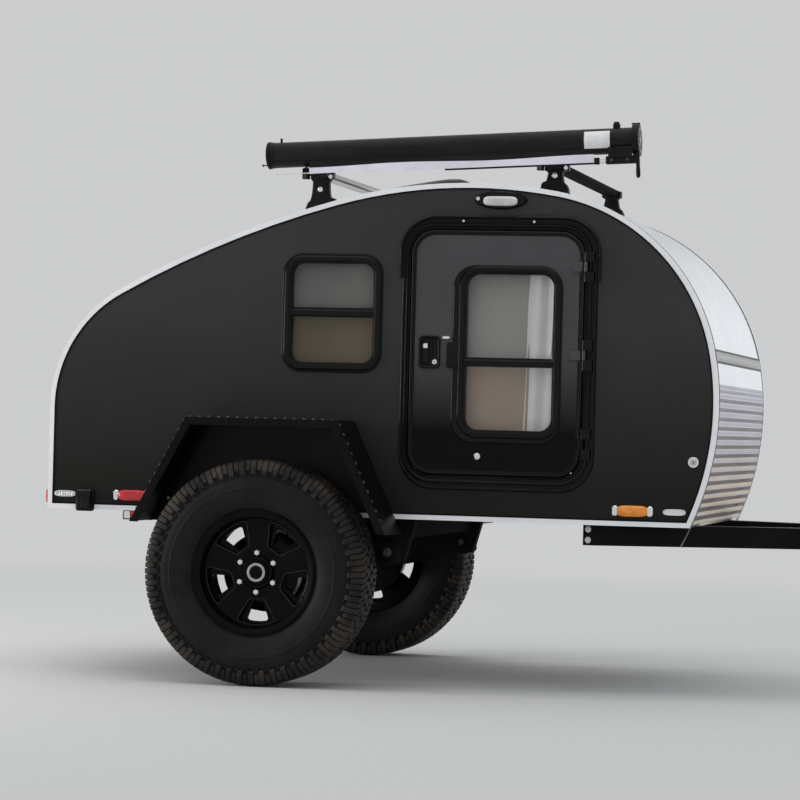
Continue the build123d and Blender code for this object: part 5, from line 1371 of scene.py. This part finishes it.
def bed():
    # Quilted mattress: crowned top with shallow tufts, rounded foot, side band and piped edges.
    x0, x1, y0, y1 = BED
    thick = BED_HIGH - BED_LOW
    top, low = [], []
    for i in range(93):
        x = lerp(x0, x1, i / 92)
        upper, under = [], []
        for j in range(75):
            y = lerp(y0, y1, j / 74)
            away = min(x - x0, x1 - x, y - y0, y1 - y)
            crown = 0.86 + 0.14 * min(1, away / 260) ** 0.6
            quilt = math.cos(2 * math.pi * (x - x0) / 167) * math.cos(2 * math.pi * (y - y0) / 143)
            tuft = 3.6 * max(0.0, quilt) ** 6 * min(1, away / 90)
            wave = 1.4 * noise.noise(Vector((x / 120, y / 120, 1.7))) * min(1, away / 60)
            rise = thick * (0.5 + 0.5 * arch(away, 34) * crown) - tuft + wave - 2
            upper.append(pt(x, y, BED_LOW + rise))
            under.append(pt(x, y, BED_LOW + thick * 0.5 * (1 - arch(away, 20))))
        top.append(upper)
        low.append(under)
    kit = Kit()
    kit.loft(top, closed=False)
    kit.loft(low, closed=False)
    loops = []
    for grid in (low, top):
        far = [row[-1] for row in reversed(grid[:-1])]
        loops.append([row[0] for row in grid] + grid[-1][1:] + far + list(reversed(grid[0][1:-1])))
    kit.loft(loops)
    for loop in loops:
        rows = []
        for i, p in enumerate(loop):
            way = (loop[(i + 1) % len(loop)] - loop[i - 1]).normalized()
            side = Vector((way.y, -way.x, 0))
            turns = [math.pi * k / 3 for k in range(6)]
            rows.append([p + (side * math.cos(a) + UP * math.sin(a)) * 0.0032 for a in turns])
        kit.loft(rows, wrap=True)
    piece = kit.make("mattress_pad", ["cotton"], swap=["mattress"], slot="mattress_cloth", sharp=60)


bed()


# Pivot of the suspension arms: length, height
ARM_PIVOT = (420.0, 480.0)


@one_piece("suspension_fittings", ["rubber", "dark_steel"], swap=["springs"], slot="rubber", sharp=34)
def suspension_fittings(kit):
    # Bolts of the brake plates and arm pivots, and the ribbed rubber springs.
    inwards = Vector((0, 1, 0))
    for i in range(5):
        a = math.radians(90 + 72 * i)
        hex_head(kit, pt(58 * math.cos(a), -827, TYRE_R + 58 * math.sin(a)), inwards, 6, 8, 1)
    nut = [(13, 0), (13, 9), (11, 11)]
    spin(kit, pt(ARM_PIVOT[0], -752.2, ARM_PIVOT[1]), OUT, [(17, 0), (17, 5), (13, 6)], 24, 1)
    spin(kit, pt(ARM_PIVOT[0], -757, ARM_PIVOT[1]), OUT, nut, 6, 1)
    spin(kit, pt(ARM_PIVOT[0], -630, ARM_PIVOT[1]), inwards, nut, 6, 1)
    ribs = [(30 if k % 2 == 0 else 39.6, 6 * k) for k in range(17)]
    spin(kit, pt(170, -715, 502), UP, ribs, 32, 0)


# Materials of the solids that stay, and of those that are replaced
LOOKS = {
    "frame": "drawbar jack_tube fenders awning_brackets",
    "matt": "rails crossmembers axle_beam trailing_arms",
    "zinc": "coupler jack_leg",
    "floor_ply": "floor_board",
    "wall": "wall_right wall_left",
    "roof": "roof_panel front_guard rear_sill hatch",
    "trim": "edge_trims hatch_hinge",
    "wood": "galley",
    "plastic": "hatch_handle vent_base vent_lid rack_feet crossbars awning_ends power_inlet",
    "rim": "rim_right rim_left",
    "leaf": "door_right door_left",
    "door_glass": "door_glass_right door_glass_left",
    "side_glass": "side_glass",
    "bag": "awning_case",
    "gloss": "door_frames door_window_right door_window_left side_windows door_latch_right door_latch_left",
    "lens": "porch_lamps",
    "amber": "amber_markers",
    "red": "red_markers tail_lamps",
    "chrome": "side_fittings",
    "rubber": "springs",
    "cotton": "mattress",
    "tyre_side": "tyre_right tyre_left",
}
for look, names in LOOKS.items():
    for name in names.split():
        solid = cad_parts[name]
        solid.data.materials.clear()
        solid.data.materials.append(materials[look])

# Floor, light and camera
PALE = (0.6, 0.605, 0.61, 1)
SKY = (0.93, 0.96, 1.0, 1)
# Distances at which the floor starts and ends to turn into the background, in metres
FLOOR_FADE = (3.4, 9.5)


def seen_rays(tree):
    # 1 for rays from the camera, a reflection or a clear pane.
    rays = node(tree, "ShaderNodeLightPath").outputs
    seen = figure(tree, "MAXIMUM", rays["Is Camera Ray"], rays["Is Glossy Ray"])
    return figure(tree, "MAXIMUM", seen, rays["Is Transmission Ray"])


def floor_surface():
    # Pale matt floor that turns into the background's tone far from the object.
    tree, surface = shader("studio_floor")
    at = coords(tree)
    tone = ramp(tree, cloud(tree, at, 40.0), (0.56, 0.56, 0.555), (0.6, 0.6, 0.595))
    wire(tree, surface, {"Base Color": tone, "Roughness": 0.9, SPEC: 0.1})
    glow = node(tree, "ShaderNodeEmission", {"Color": PALE, "Strength": 1.0})
    away = node(tree, "ShaderNodeVectorMath", {0: at}, operation="LENGTH").outputs["Value"]
    share = figure(tree, "MULTIPLY", remap(tree, away, 0.0, 1.0, *FLOOR_FADE), seen_rays(tree))
    both = node(tree, "ShaderNodeMixShader", {0: share, 1: surface.outputs[0], 2: glow.outputs[0]})
    wire(tree, tree.nodes["Material Output"], {"Surface": both.outputs[0]})


def studio():
    floor_surface()
    mesh = bpy.data.meshes.new("studio_floor")
    work = bmesh.new()
    bmesh.ops.create_circle(work, cap_ends=True, radius=60.0, segments=96)
    work.to_mesh(mesh)
    work.free()
    mesh.materials.append(materials["studio_floor"])
    floor = bpy.data.objects.new("studio_floor", mesh)
    floor.location = (0, 0, -0.0004)
    scene.collection.objects.link(floor)
    world = bpy.data.worlds.new("studio")
    scene.world = world
    world.use_nodes = True
    tree = world.node_tree
    tree.nodes.clear()
    soft = node(tree, "ShaderNodeBackground", {"Color": SKY, "Strength": 0.75})
    pale = node(tree, "ShaderNodeBackground", {"Color": PALE, "Strength": 1.0})
    both = node(tree, "ShaderNodeMixShader", {0: seen_rays(tree), 1: soft.outputs[0], 2: pale.outputs[0]})
    node(tree, "ShaderNodeOutputWorld", {"Surface": both.outputs[0]})


def lamp(name, at, to, size, watts, color):
    light = bpy.data.lights.new(name, "AREA")
    light.shape = "RECTANGLE"
    light.size, light.size_y = size
    light.energy = watts
    light.color = color
    held = bpy.data.objects.new(name, light)
    held.location = at
    held.rotation_euler = (Vector(to) - Vector(at)).to_track_quat("-Z", "Y").to_euler()
    held.visible_camera = False
    scene.collection.objects.link(held)


# Columns: name, place and aim in metres, width and height, watts, colour
LAMPS = (
    ("top_soft", (-0.5, -1.0, 6.5), (0, 0, 0.8), (8, 7), 145, (1.0, 0.98, 0.95)),
    ("rear_strip", (-6.0, -1.9, 1.35), (-0.6, -0.9, 1.1), (0.55, 1.7), 130, (1.0, 0.95, 0.88)),
    ("back_key", (-3.8, 5.5, 4.5), (0, 0, 1.0), (5, 5), 60, (1.0, 0.97, 0.92)),
    ("far_panel", (2.0, 9.0, 1.9), (0.7, 0, 1.1), (4, 3), 19, (0.92, 0.97, 1.0)),
)

studio()
for row in LAMPS:
    lamp(*row)

# The camera stands where the photograph was taken from. Angles in radians, lens for square pixels
YAW = 0.2127
PITCH = -0.0085
ROLL = 0.0263
FOCAL_PIXELS = 3399.0
IMAGE_PIXELS = 800
CAMERA_AT = Vector((AXLE_X + 3.028, -12.672, 0.9237))


def camera():
    right = Vector((math.cos(YAW), math.sin(YAW), 0))
    ahead = Vector((-math.sin(YAW) * math.cos(PITCH), math.cos(YAW) * math.cos(PITCH), -math.sin(PITCH)))
    up = right.cross(ahead)
    turned_right = right * math.cos(ROLL) + up * math.sin(ROLL)
    turned_up = up * math.cos(ROLL) - right * math.sin(ROLL)
    data = bpy.data.cameras.new("camera")
    data.sensor_width = 36.0
    data.lens = FOCAL_PIXELS * data.sensor_width / IMAGE_PIXELS
    data.clip_end = 300.0
    held = bpy.data.objects.new("camera", data)
    turn = Matrix((turned_right, turned_up, -ahead)).transposed()
    held.matrix_world = Matrix.Translation(CAMERA_AT) @ turn.to_4x4()
    scene.collection.objects.link(held)
    scene.camera = held


camera()
scene.view_settings.view_transform = "Standard"
